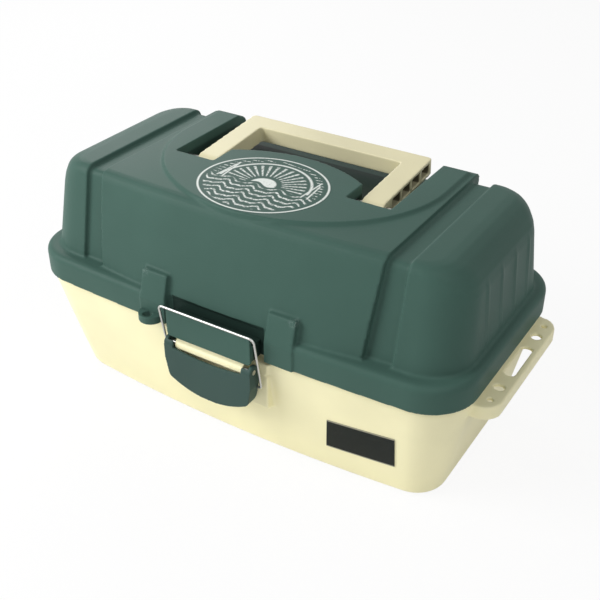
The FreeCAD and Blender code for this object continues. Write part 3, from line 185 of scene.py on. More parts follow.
class Finish:
    """A material being made: its nodes, their links and its Principled shader."""

    def __init__(self, name, roughness=0.5, metallic=0.0, sheen=0.5):
        self.material = bpy.data.materials.new(name)
        self.material.use_nodes = True
        self.nodes = self.material.node_tree.nodes
        self.links = self.material.node_tree.links
        self.shader = self.nodes["Principled BSDF"]
        self.shader.inputs["Roughness"].default_value = roughness
        self.shader.inputs["Metallic"].default_value = metallic
        self.shader.inputs["Specular IOR Level"].default_value = sheen

    def feed(self, socket, value):
        if isinstance(value, Value):
            self.links.new(value.socket, socket)
        elif isinstance(value, bpy.types.NodeSocket):
            self.links.new(value, socket)
        else:
            socket.default_value = value

    def node(self, kind, settings=None, sockets=None):
        """A node of one kind; its settings are made first, then its sockets are fed."""
        made = self.nodes.new(kind)
        for name, setting in (settings or {}).items():
            if name == "stops":
                self.set_stops(made.color_ramp, setting)
            else:
                setattr(made, name, setting)
        for name, value in (sockets or {}).items():
            self.feed(made.inputs[name], value)
        return made

    def set_stops(self, ramp, stops):
        while len(ramp.elements) < len(stops):
            ramp.elements.new(1.0)
        for element, (place, level) in zip(ramp.elements, stops):
            element.position = place
            element.color = (level, level, level, 1.0)

    def math(self, operation, *terms, clamp=False):
        made = self.node("ShaderNodeMath", {"operation": operation, "use_clamp": clamp},
                         dict(enumerate(terms)))
        return Value(self, made.outputs[0])

    def ramp(self, value, *stops):
        made = self.node("ShaderNodeValToRGB", {"stops": stops}, {"Fac": value})
        return Value(self, made.outputs["Color"])

    def blend(self, share, first, second):
        """Colour between two, by a share from 0 to 1."""
        made = self.node("ShaderNodeMix", {"data_type": "RGBA"},
                         {0: share, 6: first, 7: second})
        return made.outputs[2]

    def place(self):
        return self.node("ShaderNodeTexCoord").outputs["Object"]

    def scaled_place(self, scale, turn=(0.0, 0.0, 0.0)):
        made = self.node("ShaderNodeMapping", None,
                         {"Vector": self.place(), "Scale": scale, "Rotation": turn})
        return made.outputs["Vector"]

    def noise(self, scale, detail=2.0, place=None):
        made = self.node("ShaderNodeTexNoise", None,
                         {"Vector": place or self.place(), "Scale": scale, "Detail": detail})
        return Value(self, made.outputs["Fac"])

    def cells(self, scale):
        made = self.node("ShaderNodeTexVoronoi", {"feature": "SMOOTH_F1"},
                         {"Vector": self.place(), "Scale": scale})
        return Value(self, made.outputs["Distance"])

    def nearness(self, point, radius):
        """1 near a point, falling to 0 at the radius."""
        apart = self.node("ShaderNodeVectorMath", {"operation": "DISTANCE"},
                          {0: self.place(), 1: point})
        return self.math("SUBTRACT", 1.0, Value(self, apart.outputs["Value"]) / radius, clamp=True)

    def box_mask(self, low, high, soft):
        """1 inside a box, falling to 0 over a soft width inside its faces."""
        split = self.node("ShaderNodeSeparateXYZ", None, {0: self.place()})
        mask = 1.0
        for axis, bottom, top in zip("XYZ", low, high):
            value = Value(self, split.outputs[axis])
            rise = self.math("DIVIDE", value - bottom, soft, clamp=True)
            fall = self.math("DIVIDE", top - value, soft, clamp=True)
            mask = mask * (rise * fall)
        return mask

    def raise_surface(self, height, distance, strength=1.0):
        bump = self.node("ShaderNodeBump", None,
                         {"Height": height, "Distance": distance, "Strength": strength})
        self.feed(self.shader.inputs["Normal"], bump.outputs["Normal"])

    def colour(self, value):
        self.feed(self.shader.inputs["Base Color"], value)

    def rough(self, value):
        self.feed(self.shader.inputs["Roughness"], value)


def shaded(colour, share):
    """A colour made darker or lighter by a share."""
    return tuple(min(channel * share, 1.0) for channel in colour[:3]) + (1.0,)


def moulded_plastic(name, colour, roughness, grain, worn=0.12, sheen=0.4):
    """Moulded plastic: pebbled grain, cloudy tone, edges paler with rubbed wear and a painted
    highlight, and a few fine scuffs.
    """
    finish = Finish(name, roughness, sheen=sheen)
    cloud = finish.ramp(finish.noise(9.0, 3.0), (0.35, 0.0), (0.65, 1.0))
    tone = finish.blend(cloud, shaded(colour, 0.93), shaded(colour, 1.05))
    # Sharp edges are painted paler: partly rubbed wear, partly a painted highlight where the edges
    # catch the light.
    edge = Value(finish, finish.node("ShaderNodeNewGeometry").outputs["Pointiness"])
    rubbed_and_lit_edges = finish.ramp(edge, (0.51, 0.0), (0.58, 1.0))
    patches = finish.ramp(finish.noise(60.0, 4.0), (0.42, 0.0), (0.62, 1.0))
    tone = finish.blend(rubbed_and_lit_edges * patches * worn, tone, shaded(colour, 1.9))
    long_noise = finish.noise(1.0, 5.0, finish.scaled_place((40.0, 900.0, 300.0), (0.3, 0.4, 0.9)))
    scuffs = finish.ramp(long_noise, (0.70, 0.0), (0.74, 1.0))
    tone = finish.blend(scuffs * 0.05, tone, shaded(colour, 1.6))
    pebbles = finish.cells(grain) * 0.7 + finish.noise(grain * 2.2, 2.0) * 0.6
    finish.raise_surface(pebbles, 0.00014, 0.55)
    finish.rough(roughness - 0.05 + cloud * 0.06 + scuffs * 0.08)
    return finish, tone


def finished(finish, tone):
    finish.colour(tone)
    return finish.material


def lid_plastic(settings):
    """Green plastic with painted shade in its wells, its keeper's pocket and a small gate hole, and
    tab corners pale with wear and a painted highlight.
    """
    finish, tone = moulded_plastic("lid green plastic", settings.colour, settings.roughness,
                                   LID_GRAIN, sheen=LID_SHEEN)
    # Painted shade: a near-black dot where the gate mark's small blind hole is.
    hole_shade = finish.ramp(finish.nearness(GATE_HOLE_SHADE, GATE_HOLE_SHADE_RADIUS), (0.28, 0.0), (0.55, 1.0))
    tone = finish.blend(hole_shade * 0.8, tone, shaded(settings.colour, 0.25))
    pocket = [Vector(corner) + Vector(reach)
              for corner, reach in zip(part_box("latch_keeper"), POCKET_SHADE_REACH)]
    # Painted shade: the handle's wells and the keeper's pocket are darkened in the colour.
    painted_shade = finish.math("MAXIMUM", finish.box_mask(*WELL_SHADE_BOX, WELL_SHADE_SOFT),
                       finish.box_mask(*pocket, POCKET_SHADE_SOFT))
    tone = finish.blend(painted_shade * 0.8, tone, shaded(settings.colour, 0.15))
    # The tab corners are painted pale: partly rubbed wear, partly a painted highlight on their edges.
    for side in (-1.0, 1.0):
        corner = (side * TAB_CORNER[0], TAB_CORNER[1], TAB_CORNER[2])
        near = finish.nearness(corner, TAB_CORNER_RADIUS)
        speckle = finish.ramp(finish.noise(700.0, 3.0), (0.45, 0.0), (0.6, 1.0))
        tone = finish.blend(near * speckle * 0.2, tone, WEAR_AND_HIGHLIGHT_TONE)
    return finished(finish, tone)


def hollow_shade_mask(finish):
    """1 in the hollows at the handle's sides, where their deep shade is painted."""
    split = finish.node("ShaderNodeSeparateXYZ", None, {0: finish.place()})
    across, along, up = (Value(finish, split.outputs[axis]) for axis in "XYZ")
    level = (along - HANDLE_PIVOT[0]) * HANDLE_SLOPE + HANDLE_PIVOT[1]
    height = finish.math("ABSOLUTE", up - level)
    side = finish.math("ABSOLUTE", across)
    within = finish.math("DIVIDE", HOLLOW_HALF_HEIGHT - height, HOLLOW_SOFT, clamp=True)
    inner = finish.math("DIVIDE", side - HOLLOW_SIDES[0], HOLLOW_SOFT, clamp=True)
    outer = finish.math("DIVIDE", HOLLOW_SIDES[1] - side, HOLLOW_OUTER_SOFT, clamp=True)
    return within * inner * outer


def brushed_steel(name, colour, roughness, along=(40.0, 2500.0, 2500.0)):
    """Bright steel with fine lines drawn along it and a cloudy sheen."""
    finish = Finish(name, roughness, metallic=1.0)
    lines = finish.noise(1.0, 4.0, finish.scaled_place(along))
    cloud = finish.noise(45.0, 3.0)
    finish.colour(finish.blend(lines * 0.6 + cloud * 0.3, shaded(colour, 0.82),
                               shaded(colour, 1.12)))
    finish.rough(roughness + (lines - 0.5) * 0.12 + (cloud - 0.5) * 0.10)
    finish.raise_surface(lines, 0.00003, 0.5)
    return finish.material


def emblem_print(settings, ground):
    """White print on the lid's green: a ring, a sun with rays, clouds, reeds and waves."""
    finish = Finish("emblem print", EMBLEM_ROUGHNESS, sheen=LID_SHEEN)
    centred = finish.node("ShaderNodeVectorMath", {"operation": "SUBTRACT"},
                          {0: finish.place(), 1: (settings.centre[0], settings.centre[1], 0.0)})
    split = finish.node("ShaderNodeSeparateXYZ", None, {0: centred.outputs["Vector"]})
    across = Value(finish, split.outputs["X"]) / settings.half_width
    along = Value(finish, split.outputs["Y"]) / settings.half_depth
    reach = finish.math("SQRT", across * across + along * along)

    def band(value, low, high, soft=0.012):
        rise = finish.math("DIVIDE", value - (low - soft), 2.0 * soft, clamp=True)
        fall = finish.math("DIVIDE", (high + soft) - value, 2.0 * soft, clamp=True)
        return rise * fall

    def either(*masks):
        total = masks[0]
        for mask in masks[1:]:
            total = finish.math("MAXIMUM", total, mask)
        return total

    ring = band(reach, 0.955, 0.985, 0.008)
    inside = finish.math("DIVIDE", 0.90 - reach, 0.02, clamp=True)
    lift = finish.math("SINE", across * 15.0) * 0.05
    crest = finish.math("SINE", across * 31.0 + 1.3) * 0.02
    row = finish.math("FRACT", (along + lift + crest) * WAVE_ROWS + 10.0)
    below = finish.math("DIVIDE", -0.08 - (along + lift), 0.02, clamp=True)
    broken = finish.ramp(finish.noise(520.0, 4.0), (0.44, 0.0), (0.52, 1.0))
    waves = band(row, 0.20, 0.52, 0.07) * below * inside * (broken * 0.75 + 0.25)
    height = along + 0.02
    from_sun = finish.math("SQRT", across * across * 1.2 + height * height)
    turn = finish.math("ARCTAN2", height, across)
    rays = band(finish.math("FRACT", turn * RAY_TURNS + 10.0), 0.16, 0.50, 0.08)
    above = finish.math("DIVIDE", along + lift + 0.03, 0.02, clamp=True)
    sun = band(from_sun, -1.0, 0.22) * above
    halo = rays * band(from_sun, 0.31, 0.70) * above * (broken * 0.6 + 0.4)
    rim = band(from_sun, 0.76, 0.80) * above
    sway = finish.math("SINE", across * 5.0) * 0.04
    drift = finish.math("FRACT", (along + sway) * CLOUD_ROWS + 10.0)
    clouds = band(drift, 0.25, 0.50, 0.08) * band(from_sun, 0.86, 2.0) * above * broken
    reeds = None
    for foot, lean, top in REEDS:
        line = band(across - along * lean, foot - 0.012, foot + 0.012, 0.008)
        stem = line * band(along, -0.1, top)
        reeds = stem if reeds is None else either(reeds, stem)
    printed = either(ring, waves, either(sun, halo, rim, clouds, reeds) * inside)
    worn = finish.ramp(finish.noise(900.0, 2.0), (0.28, 0.0), (0.36, 1.0)) * 0.9
    tone = finish.blend(finish.noise(9.0, 3.0), shaded(ground, 0.85), shaded(ground, 0.95))
    finish.colour(finish.blend(printed * (worn + 0.08), tone, tuple(settings.ink) + (1.0,)))
    finish.raise_surface(finish.cells(LID_GRAIN) * 0.5 + printed * 0.5, 0.0001, 0.5)
    finish.rough(EMBLEM_ROUGHNESS - printed * 0.08)
    return finish.material


def plate_plastic(name, colour, roughness):
    """Smooth thin plate with a slight ripple and specks of dust."""
    finish = Finish(name, roughness, sheen=0.12)
    dust = finish.ramp(finish.noise(1400.0, 2.0), (0.62, 0.0), (0.70, 1.0))
    cloud = finish.noise(30.0, 2.0)
    tone = finish.blend(cloud, shaded(colour, 0.9), shaded(colour, 1.1))
    finish.colour(finish.blend(dust * 0.12, tone, (0.5, 0.5, 0.48, 1.0)))
    finish.rough(roughness + dust * 0.2)
    finish.raise_surface(cloud, 0.0001, 0.4)
    return finish.material


# Mesh helpers

def node_shape(*nodes):
    """A copy of the meshes of one or more CAD nodes, with each node's doubles merged."""
    shape = bmesh.new()
    for node in nodes:
        old = set(shape.verts)
        shape.from_mesh(frame["nodes"][node].data)
        fresh = [vertex for vertex in shape.verts if vertex not in old]
        bmesh.ops.remove_doubles(shape, verts=fresh, dist=WELD)
    return shape


def add_piece(name, shape, body, materials):
    """A piece made from a bmesh, riding on a body, with its finish."""
    mesh = bpy.data.meshes.new(name)
    shape.to_mesh(mesh)
    shape.free()
    piece = bpy.data.objects.new(name, mesh)
    bpy.context.scene.collection.objects.link(piece)
    for material in materials:
        mesh.materials.append(material)
    mesh.shade_smooth()
    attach(piece, body)
    return piece


def apply_modifiers(piece):
    """Keep the shape that the modifiers give, and drop them."""
    materials = list(piece.data.materials)
    graph = bpy.context.evaluated_depsgraph_get()
    made = bpy.data.meshes.new_from_object(piece.evaluated_get(graph))
    piece.modifiers.clear()
    old = piece.data
    piece.data = made
    bpy.data.meshes.remove(old)
    made.materials.clear()
    for material in materials:
        made.materials.append(material)
    made.shade_smooth()


def count_triangles(piece):
    return sum(len(polygon.vertices) - 2 for polygon in piece.data.polygons)


def moulded_piece(name, nodes, body, material, voxel, rounds, relief=None):
    """A copy of CAD nodes in one skin with softly rounded edges, as a mould leaves them.

    A relief is a function that presses fine forms into the skin while it is still dense.
    """
    piece = add_piece(name, node_shape(*nodes), body, [material])
    remesh = piece.modifiers.new("skin", "REMESH")
    remesh.mode = "VOXEL"
    remesh.voxel_size = voxel
    soften = piece.modifiers.new("soften", "SMOOTH")
    soften.factor = 0.5
    soften.iterations = rounds
    apply_modifiers(piece)
    if relief:
        relief(piece)
    triangles = count_triangles(piece)
    if triangles > MOST_TRIANGLES:
        thin = piece.modifiers.new("thin", "DECIMATE")
        thin.ratio = MOST_TRIANGLES / triangles
        apply_modifiers(piece)
    if count_triangles(piece) < LEAST_TRIANGLES:
        raise RuntimeError(f"{name} came out empty")
    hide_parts(*nodes)
    return piece


def rib_ends(piece, settings):
    """Raise narrow upright ribs on the outside of the lid's end walls."""
    mesh = piece.data
    count = len(mesh.vertices)
    places = np.empty(count * 3)
    mesh.vertices.foreach_get("co", places)
    places = places.reshape(count, 3)
    normals = np.empty(count * 3)
    mesh.vertices.foreach_get("normal", normals)
    across, along, up = places.T
    outward = normals.reshape(count, 3)[:, 0] * np.sign(across)
    wall = settings.wall_top + (RIB_TOP - up) * WALL_LEAN
    upright = np.clip((outward - 0.80) / 0.15, 0.0, 1.0)
    near = np.clip((np.abs(across) - wall + WALL_MARGIN) / WALL_FADE, 0.0, 1.0)
    top = np.clip((RIB_TOP - up) / RIB_TOP_FADE, 0.0, 1.0)
    foot = np.clip((up - RIB_FOOT) / RIB_FOOT_FADE, 0.0, 1.0)
    ribs = settings.first_rib + settings.pitch * np.arange(settings.ribs)
    apart = np.abs(along[:, None] - ribs).min(axis=1)
    share = np.clip(1.0 - apart / settings.rib_width, 0.0, 1.0) * upright * near * top * foot
    across += np.sign(across) * settings.rib_height * share
    mesh.vertices.foreach_set("co", places.reshape(-1))
    mesh.update()


def edged_piece(name, node, body, material, width):
    """A CAD node's copy with its flat faces whole and its sharp edges bevelled."""
    shape = node_shape(node)
    bmesh.ops.dissolve_limit(shape, angle_limit=math.radians(1.0), verts=shape.verts,
                             edges=shape.edges)
    sharp = [edge for edge in shape.edges
             if edge.is_manifold and edge.calc_face_angle(0.0) > BEVEL_CREASE]
    bmesh.ops.bevel(shape, geom=sharp, offset=width, offset_type="OFFSET", affect="EDGES",
                    segments=2, profile=0.5, material=-1, clamp_overlap=True)
    bmesh.ops.triangulate(shape, faces=shape.faces)
    piece = add_piece(name, shape, body, [material])
    piece.data.set_sharp_from_angle(angle=CREASE)
    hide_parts(node)
    return piece


# Sizes and colours that a user would change

class LidSettings(bpy.types.PropertyGroup):
    colour: FloatVectorProperty(name="Colour", description="Green of the lid's plastic",
                                subtype="COLOR", size=3, min=0.0, max=1.0,
                                default=(0.054, 0.110, 0.090))
    roughness: FloatProperty(name="Roughness", description="How matt the lid's plastic is",
                             min=0.0, max=1.0, default=0.46, subtype="FACTOR")
    voxel: FloatProperty(name="Fineness", description="Size of the steps that the lid is cut to",
                         min=0.0005, max=0.01, default=0.0011, unit="LENGTH", precision=4)
    rib_height: FloatProperty(name="Rib height", description="Height of the end walls' ribs",
                              min=0.0, max=0.002, default=0.0009, unit="LENGTH", precision=4)
    rib_width: FloatProperty(name="Rib width", description="Half of a rib's width at its root",
                             min=0.001, max=0.01, default=0.0040, unit="LENGTH", precision=4)
    ribs: IntProperty(name="Ribs", description="Number of ribs on an end wall",
                      min=1, max=8, default=4)
    pitch: FloatProperty(name="Rib pitch", description="Distance between the ribs",
                         min=0.005, max=0.06, default=0.026, unit="LENGTH", precision=4)
    first_rib: FloatProperty(name="First rib", description="Place of the front rib along the depth",
                             min=-0.1, max=0.1, default=-0.033, unit="LENGTH", precision=4)
    wall_top: FloatProperty(name="Wall", description="Distance of the end wall's top from the middle",
                            min=0.1, max=0.3, default=0.1874, unit="LENGTH", precision=4)


class BaseSettings(bpy.types.PropertyGroup):
    colour: FloatVectorProperty(name="Colour", description="Cream of the base's plastic",
                                subtype="COLOR", size=3, min=0.0, max=1.0,
                                default=(0.87, 0.82, 0.52))
    roughness: FloatProperty(name="Roughness", description="How matt the base's plastic is",
                             min=0.0, max=1.0, default=0.42, subtype="FACTOR")
    voxel: FloatProperty(name="Fineness", description="Size of the steps that the base is cut to",
                         min=0.0005, max=0.01, default=0.0012, unit="LENGTH", precision=4)


class HandleSettings(bpy.types.PropertyGroup):
    colour: FloatVectorProperty(name="Colour", description="Cream of the handle",
                                subtype="COLOR", size=3, min=0.0, max=1.0,
                                default=(0.73, 0.68, 0.44))
    voxel: FloatProperty(name="Fineness", description="Size of the steps that the handle is cut to",
                         min=0.0003, max=0.01, default=0.0007, unit="LENGTH", precision=4)


class LatchSettings(bpy.types.PropertyGroup):
    colour: FloatVectorProperty(name="Colour", description="Green of the latch lever",
                                subtype="COLOR", size=3, min=0.0, max=1.0,
                                default=(0.041, 0.078, 0.068))
    wire_radius: FloatProperty(name="Wire radius", description="Radius of the bail's wire",
                               min=0.0005, max=0.002, default=0.0010, unit="LENGTH", precision=4)
    wire_sides: IntProperty(name="Wire sides", description="Flats round the bail's wire",
                            min=8, max=32, default=16)
    voxel: FloatProperty(name="Fineness", description="Size of the steps that the latch is cut to",
                         min=0.0003, max=0.005, default=0.0005, unit="LENGTH", precision=4)


class TraySettings(bpy.types.PropertyGroup):
    colour: FloatVectorProperty(name="Colour", description="Cream of the trays",
                                subtype="COLOR", size=3, min=0.0, max=1.0,
                                default=(0.80, 0.76, 0.52))
    edge: FloatProperty(name="Edge", description="Width of the rounding on the trays' edges",
                        min=0.0001, max=0.001, default=0.0005, unit="LENGTH", precision=4)


class SteelSettings(bpy.types.PropertyGroup):
    colour: FloatVectorProperty(name="Colour", description="Tone of the steel arms and pins",
                                subtype="COLOR", size=3, min=0.0, max=1.0,
                                default=(0.60, 0.60, 0.58))
    roughness: FloatProperty(name="Roughness", description="How dull the steel is",
                             min=0.0, max=1.0, default=0.30, subtype="FACTOR")


class EmblemSettings(bpy.types.PropertyGroup):
    ink: FloatVectorProperty(name="Ink", description="Colour of the print on the lid",
                             subtype="COLOR", size=3, min=0.0, max=1.0,
                             default=(0.78, 0.82, 0.78))
    centre: FloatVectorProperty(name="Centre", description="Middle of the oval on the lid",
                                size=2, subtype="XYZ_LENGTH", default=(-0.0031, -0.0277))
    half_width: FloatProperty(name="Half width", description="Half of the oval's width",
                              min=0.01, max=0.06, default=0.0543, unit="LENGTH", precision=4)
    half_depth: FloatProperty(name="Half depth", description="Half of the oval's depth",
                              min=0.01, max=0.06, default=0.0474, unit="LENGTH", precision=4)


class PlateSettings(bpy.types.PropertyGroup):
    face: FloatVectorProperty(name="Face", description="Colour of the bare plate",
                              subtype="COLOR", size=3, min=0.0, max=1.0,
                              default=(0.006, 0.009, 0.007))
    border: FloatVectorProperty(name="Border", description="Colour of the plate's thin border",
                                subtype="COLOR", size=3, min=0.0, max=1.0,
                                default=(0.30, 0.29, 0.22))
    thickness: FloatProperty(name="Thickness", description="Thickness of the plate",
                             min=0.0002, max=0.002, default=0.0005, unit="LENGTH", precision=4)


class StageSettings(bpy.types.PropertyGroup):
    key_power: FloatProperty(name="Key light", description="Power of the large front light",
                             min=0.0, max=200.0, default=24.0, unit="POWER")
    back_power: FloatProperty(name="Back light", description="Power of the light behind the left",
                              min=0.0, max=200.0, default=5.0, unit="POWER")
    top_power: FloatProperty(name="Top light", description="Power of the light over the right",
                             min=0.0, max=200.0, default=4.0, unit="POWER")
    ambient: FloatProperty(name="Ambient", description="Strength of the even surrounding light",
                           min=0.0, max=2.0, default=0.36)
    lens: FloatProperty(name="Lens", description="Focal length of the camera in millimetres",
                        min=20.0, max=200.0, default=56.741)


# Operators, one for each piece or group of like pieces

class MouldLid(bpy.types.Operator):
    """Make the hooded lid, its keeper and its padlock ear in green plastic"""
    bl_idname = "tackle_box.lid"
    bl_label = "Lid"

    def execute(self, context):
        settings = context.scene.tackle_lid
        material = lid_plastic(settings)
        moulded_piece("lid_shell", ["lid_hood"], "lid", material,
                      settings.voxel, 2, lambda piece: rib_ends(piece, settings))
        for name, node in (("keeper_lip", "latch_keeper"), ("lock_ear", "padlock_ear")):
            moulded_piece(name, [node], "lid", material,
                          context.scene.tackle_latch.voxel, 2)
        return {"FINISHED"}


class MouldBase(bpy.types.Operator):
    """Make the base with its lure racks, and the latch mount, in cream plastic"""
    bl_idname = "tackle_box.base"
    bl_label = "Base"

    def execute(self, context):
        settings = context.scene.tackle_base
        material = finished(*moulded_plastic("base cream plastic", settings.colour,
                                             settings.roughness, 900.0, 0.05))
        moulded_piece("base_shell", BASE_NODES, "base", material,
                      settings.voxel, 2)
        moulded_piece("latch_block", ["lever_mount"], "base", material,
                      context.scene.tackle_latch.voxel, 2)
        return {"FINISHED"}


class MouldHandle(bpy.types.Operator):
    """Make the carrying handle in cream plastic"""
    bl_idname = "tackle_box.handle"
    bl_label = "Handle"

    def execute(self, context):
        settings = context.scene.tackle_handle
        finish, tone = moulded_plastic("handle cream plastic", settings.colour, 0.44, 1000.0, 0.06)
        # Painted shade in the hollows at the handle's sides.
        tone = finish.blend(hollow_shade_mask(finish) * 0.85, tone, HOLLOW_SHADE_TONE)
        material = finished(finish, tone)
        moulded_piece("handle_loop", ["carry_handle"], "handle", material,
                      settings.voxel, 3)
        return {"FINISHED"}


class MouldLever(bpy.types.Operator):
    """Make the latch lever in green plastic"""
    bl_idname = "tackle_box.lever"
    bl_label = "Latch lever"

    def execute(self, context):
        settings = context.scene.tackle_latch
        material = finished(*moulded_plastic("lever green plastic", settings.colour, 0.42,
                                             1100.0, 0.25, 0.12))
        moulded_piece("lever_plate", ["latch_lever"], "lever", material,
                      settings.voxel, 2)
        return {"FINISHED"}


class BendBail(bpy.types.Operator):
    """Bend the latch's wire bail from round steel wire"""
    bl_idname = "tackle_box.bail"
    bl_label = "Wire bail"

    def execute(self, context):
        settings = context.scene.tackle_latch
        radius = settings.wire_radius
        low, high = (Vector(corner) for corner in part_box("latch_bail"))
        hinge = next(joint for joint in frame["joints"] if joint["name"] == "bail_hinge")
        pivot = Vector(hinge["pos_m"])
        top = Vector((0.0, low.y + radius, high.z - radius))
        side = high.x - radius
        rise = (top - pivot).normalized()
        out = Vector((1.0, 0.0, 0.0))
        over = out.cross(rise)
        small, large = 2.0 * radius, 4.0 * radius
        start = pivot + out * (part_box("latch_lever")[1][0] - 2.5 * radius)
        shape = bmesh.new()
        ring = Matrix.Translation(start) @ Matrix.Rotation(math.pi / 2, 4, "Y")
        bmesh.ops.create_circle(shape, cap_ends=True, segments=settings.wire_sides,
                                radius=radius, matrix=ring)
        tip = shape.faces[:]

        def run(tip, step):
            grown = bmesh.ops.extrude_face_region(shape, geom=tip)["geom"]
            moved = [item for item in grown if isinstance(item, bmesh.types.BMVert)]
            bmesh.ops.translate(shape, verts=moved, vec=step)
            return [item for item in grown if isinstance(item, bmesh.types.BMFace)]

        def bend(tip, centre, axis):
            turned = bmesh.ops.spin(shape, geom=tip, cent=centre, axis=axis,
                                    angle=math.pi / 2, steps=8, use_duplicate=False)
            return [item for item in turned["geom_last"] if isinstance(item, bmesh.types.BMFace)]

        first = pivot + out * (side - small)
        tip = run(tip, first - start)
        tip = bend(tip, first + rise * small, over)
        second = pivot + out * side + rise * small
        third = top + out * side - rise * large
        tip = run(tip, third - second)
        tip = bend(tip, third - out * large, over)
        fourth = top + out * (side - large)
        tip = run(tip, Vector((-fourth.x, 0.0, 0.0)))
        bmesh.ops.delete(shape, geom=tip, context="FACES_ONLY")
        bmesh.ops.mirror(shape, geom=shape.verts[:] + shape.edges[:] + shape.faces[:],
                         axis="X", merge_dist=WELD * 10)
        bmesh.ops.remove_doubles(shape, verts=shape.verts, dist=WELD * 10)
        bmesh.ops.recalc_face_normals(shape, faces=shape.faces)
        material = brushed_steel("bail steel", (0.56, 0.56, 0.54), 0.30)
        piece = add_piece("bail_wire", shape, "bail", [material])
        piece.data.set_sharp_from_angle(angle=BEVEL_CREASE)
        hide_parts("latch_bail")
        return {"FINISHED"}


class MouldTrays(bpy.types.Operator):
    """Make the three lift-out trays in pale plastic"""
    bl_idname = "tackle_box.trays"
    bl_label = "Trays"

    def execute(self, context):
        settings = context.scene.tackle_trays
        material = finished(*moulded_plastic("tray cream plastic", settings.colour, 0.40,
                                             1200.0, 0.04))
        for node in TRAYS:
            edged_piece(f"{node}_moulding", node, node, material, settings.edge)
        return {"FINISHED"}


class FinishSteel(bpy.types.Operator):
    """Give the arms, links, pins and rivets their steel"""
    bl_idname = "tackle_box.steel"
    bl_label = "Steel parts"

    def execute(self, context):
        settings = context.scene.tackle_steel
        material = brushed_steel("arm steel", tuple(settings.colour), settings.roughness,
                                 (900.0, 120.0, 900.0))
        for node in STEEL_NODES:
            for slot in frame["nodes"][node].material_slots:
                slot.material = material
        return {"FINISHED"}


class PrintEmblem(bpy.types.Operator):
    """Print the oval emblem, a sun over waves, on the lid's platform"""
    bl_idname = "tackle_box.emblem"
    bl_label = "Emblem"

    def execute(self, context):
        settings = context.scene.tackle_emblem
        ground = tuple(context.scene.tackle_lid.colour)
        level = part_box("lid_hood")[1][2]
        shape = bmesh.new()
        bmesh.ops.create_circle(shape, cap_ends=True, segments=128, radius=1.0)
        bmesh.ops.scale(shape, verts=shape.verts,
                        vec=(settings.half_width, settings.half_depth, 1.0))
        bmesh.ops.translate(shape, verts=shape.verts,
                            vec=(settings.centre[0], settings.centre[1], level - EMBLEM_SINK))
        grown = bmesh.ops.extrude_face_region(shape, geom=shape.faces[:])["geom"]
        raised = [item for item in grown if isinstance(item, bmesh.types.BMVert)]
        bmesh.ops.translate(shape, verts=raised, vec=(0.0, 0.0, EMBLEM_THICKNESS))
        bmesh.ops.recalc_face_normals(shape, faces=shape.faces)
        piece = add_piece("emblem_oval", shape, "lid",
                          [emblem_print(settings, ground)])
        piece.data.set_sharp_from_angle(angle=CREASE)
        return {"FINISHED"}


class FixPlate(bpy.types.Operator):
    """Fix the bare bordered plate on the base's front"""
    bl_idname = "tackle_box.plate"
    bl_label = "Bare plate"

    def execute(self, context):
        settings = context.scene.tackle_plate
        base = node_shape("base_tub")
        tree = BVHTree.FromBMesh(base)
        base.free()
        shape = bmesh.new()
        bmesh.ops.create_grid(shape, x_segments=PLATE_COLUMNS, y_segments=PLATE_ROWS, size=1.0)
        for face in shape.faces:
            if abs(face.calc_center_median().y) > 1.0 - 2.0 / PLATE_ROWS:
                face.material_index = 1
        left_top, right_top, right_low, left_low = (Vector(corner) for corner in PLATE_CORNERS)
        for vertex in shape.verts:
            across = (vertex.co.x + 1.0) / 2.0
            up = (vertex.co.y + 1.0) / 2.0
            low = left_low.lerp(right_low, across)
            high = left_top.lerp(right_top, across)
            spot = low.lerp(high, up)
            found = tree.ray_cast(Vector((spot.x, IN_FRONT, spot.y)), Vector((0.0, 1.0, 0.0)))[0]
            if found is None:
                raise RuntimeError("the plate misses the base's front")
            vertex.co = found - Vector((0.0, PLATE_GAP, 0.0))
        bmesh.ops.recalc_face_normals(shape, faces=shape.faces)
        if sum(face.normal.y for face in shape.faces) > 0.0:
            bmesh.ops.reverse_faces(shape, faces=shape.faces)
        bmesh.ops.solidify(shape, geom=shape.faces[:], thickness=-settings.thickness)
        materials = [plate_plastic("plate black", tuple(settings.face), 0.45),
                     plate_plastic("plate border", tuple(settings.border), 0.35)]
        piece = add_piece("front_plate", shape, "base", materials)
        piece.data.set_sharp_from_angle(angle=CREASE)
        return {"FINISHED"}


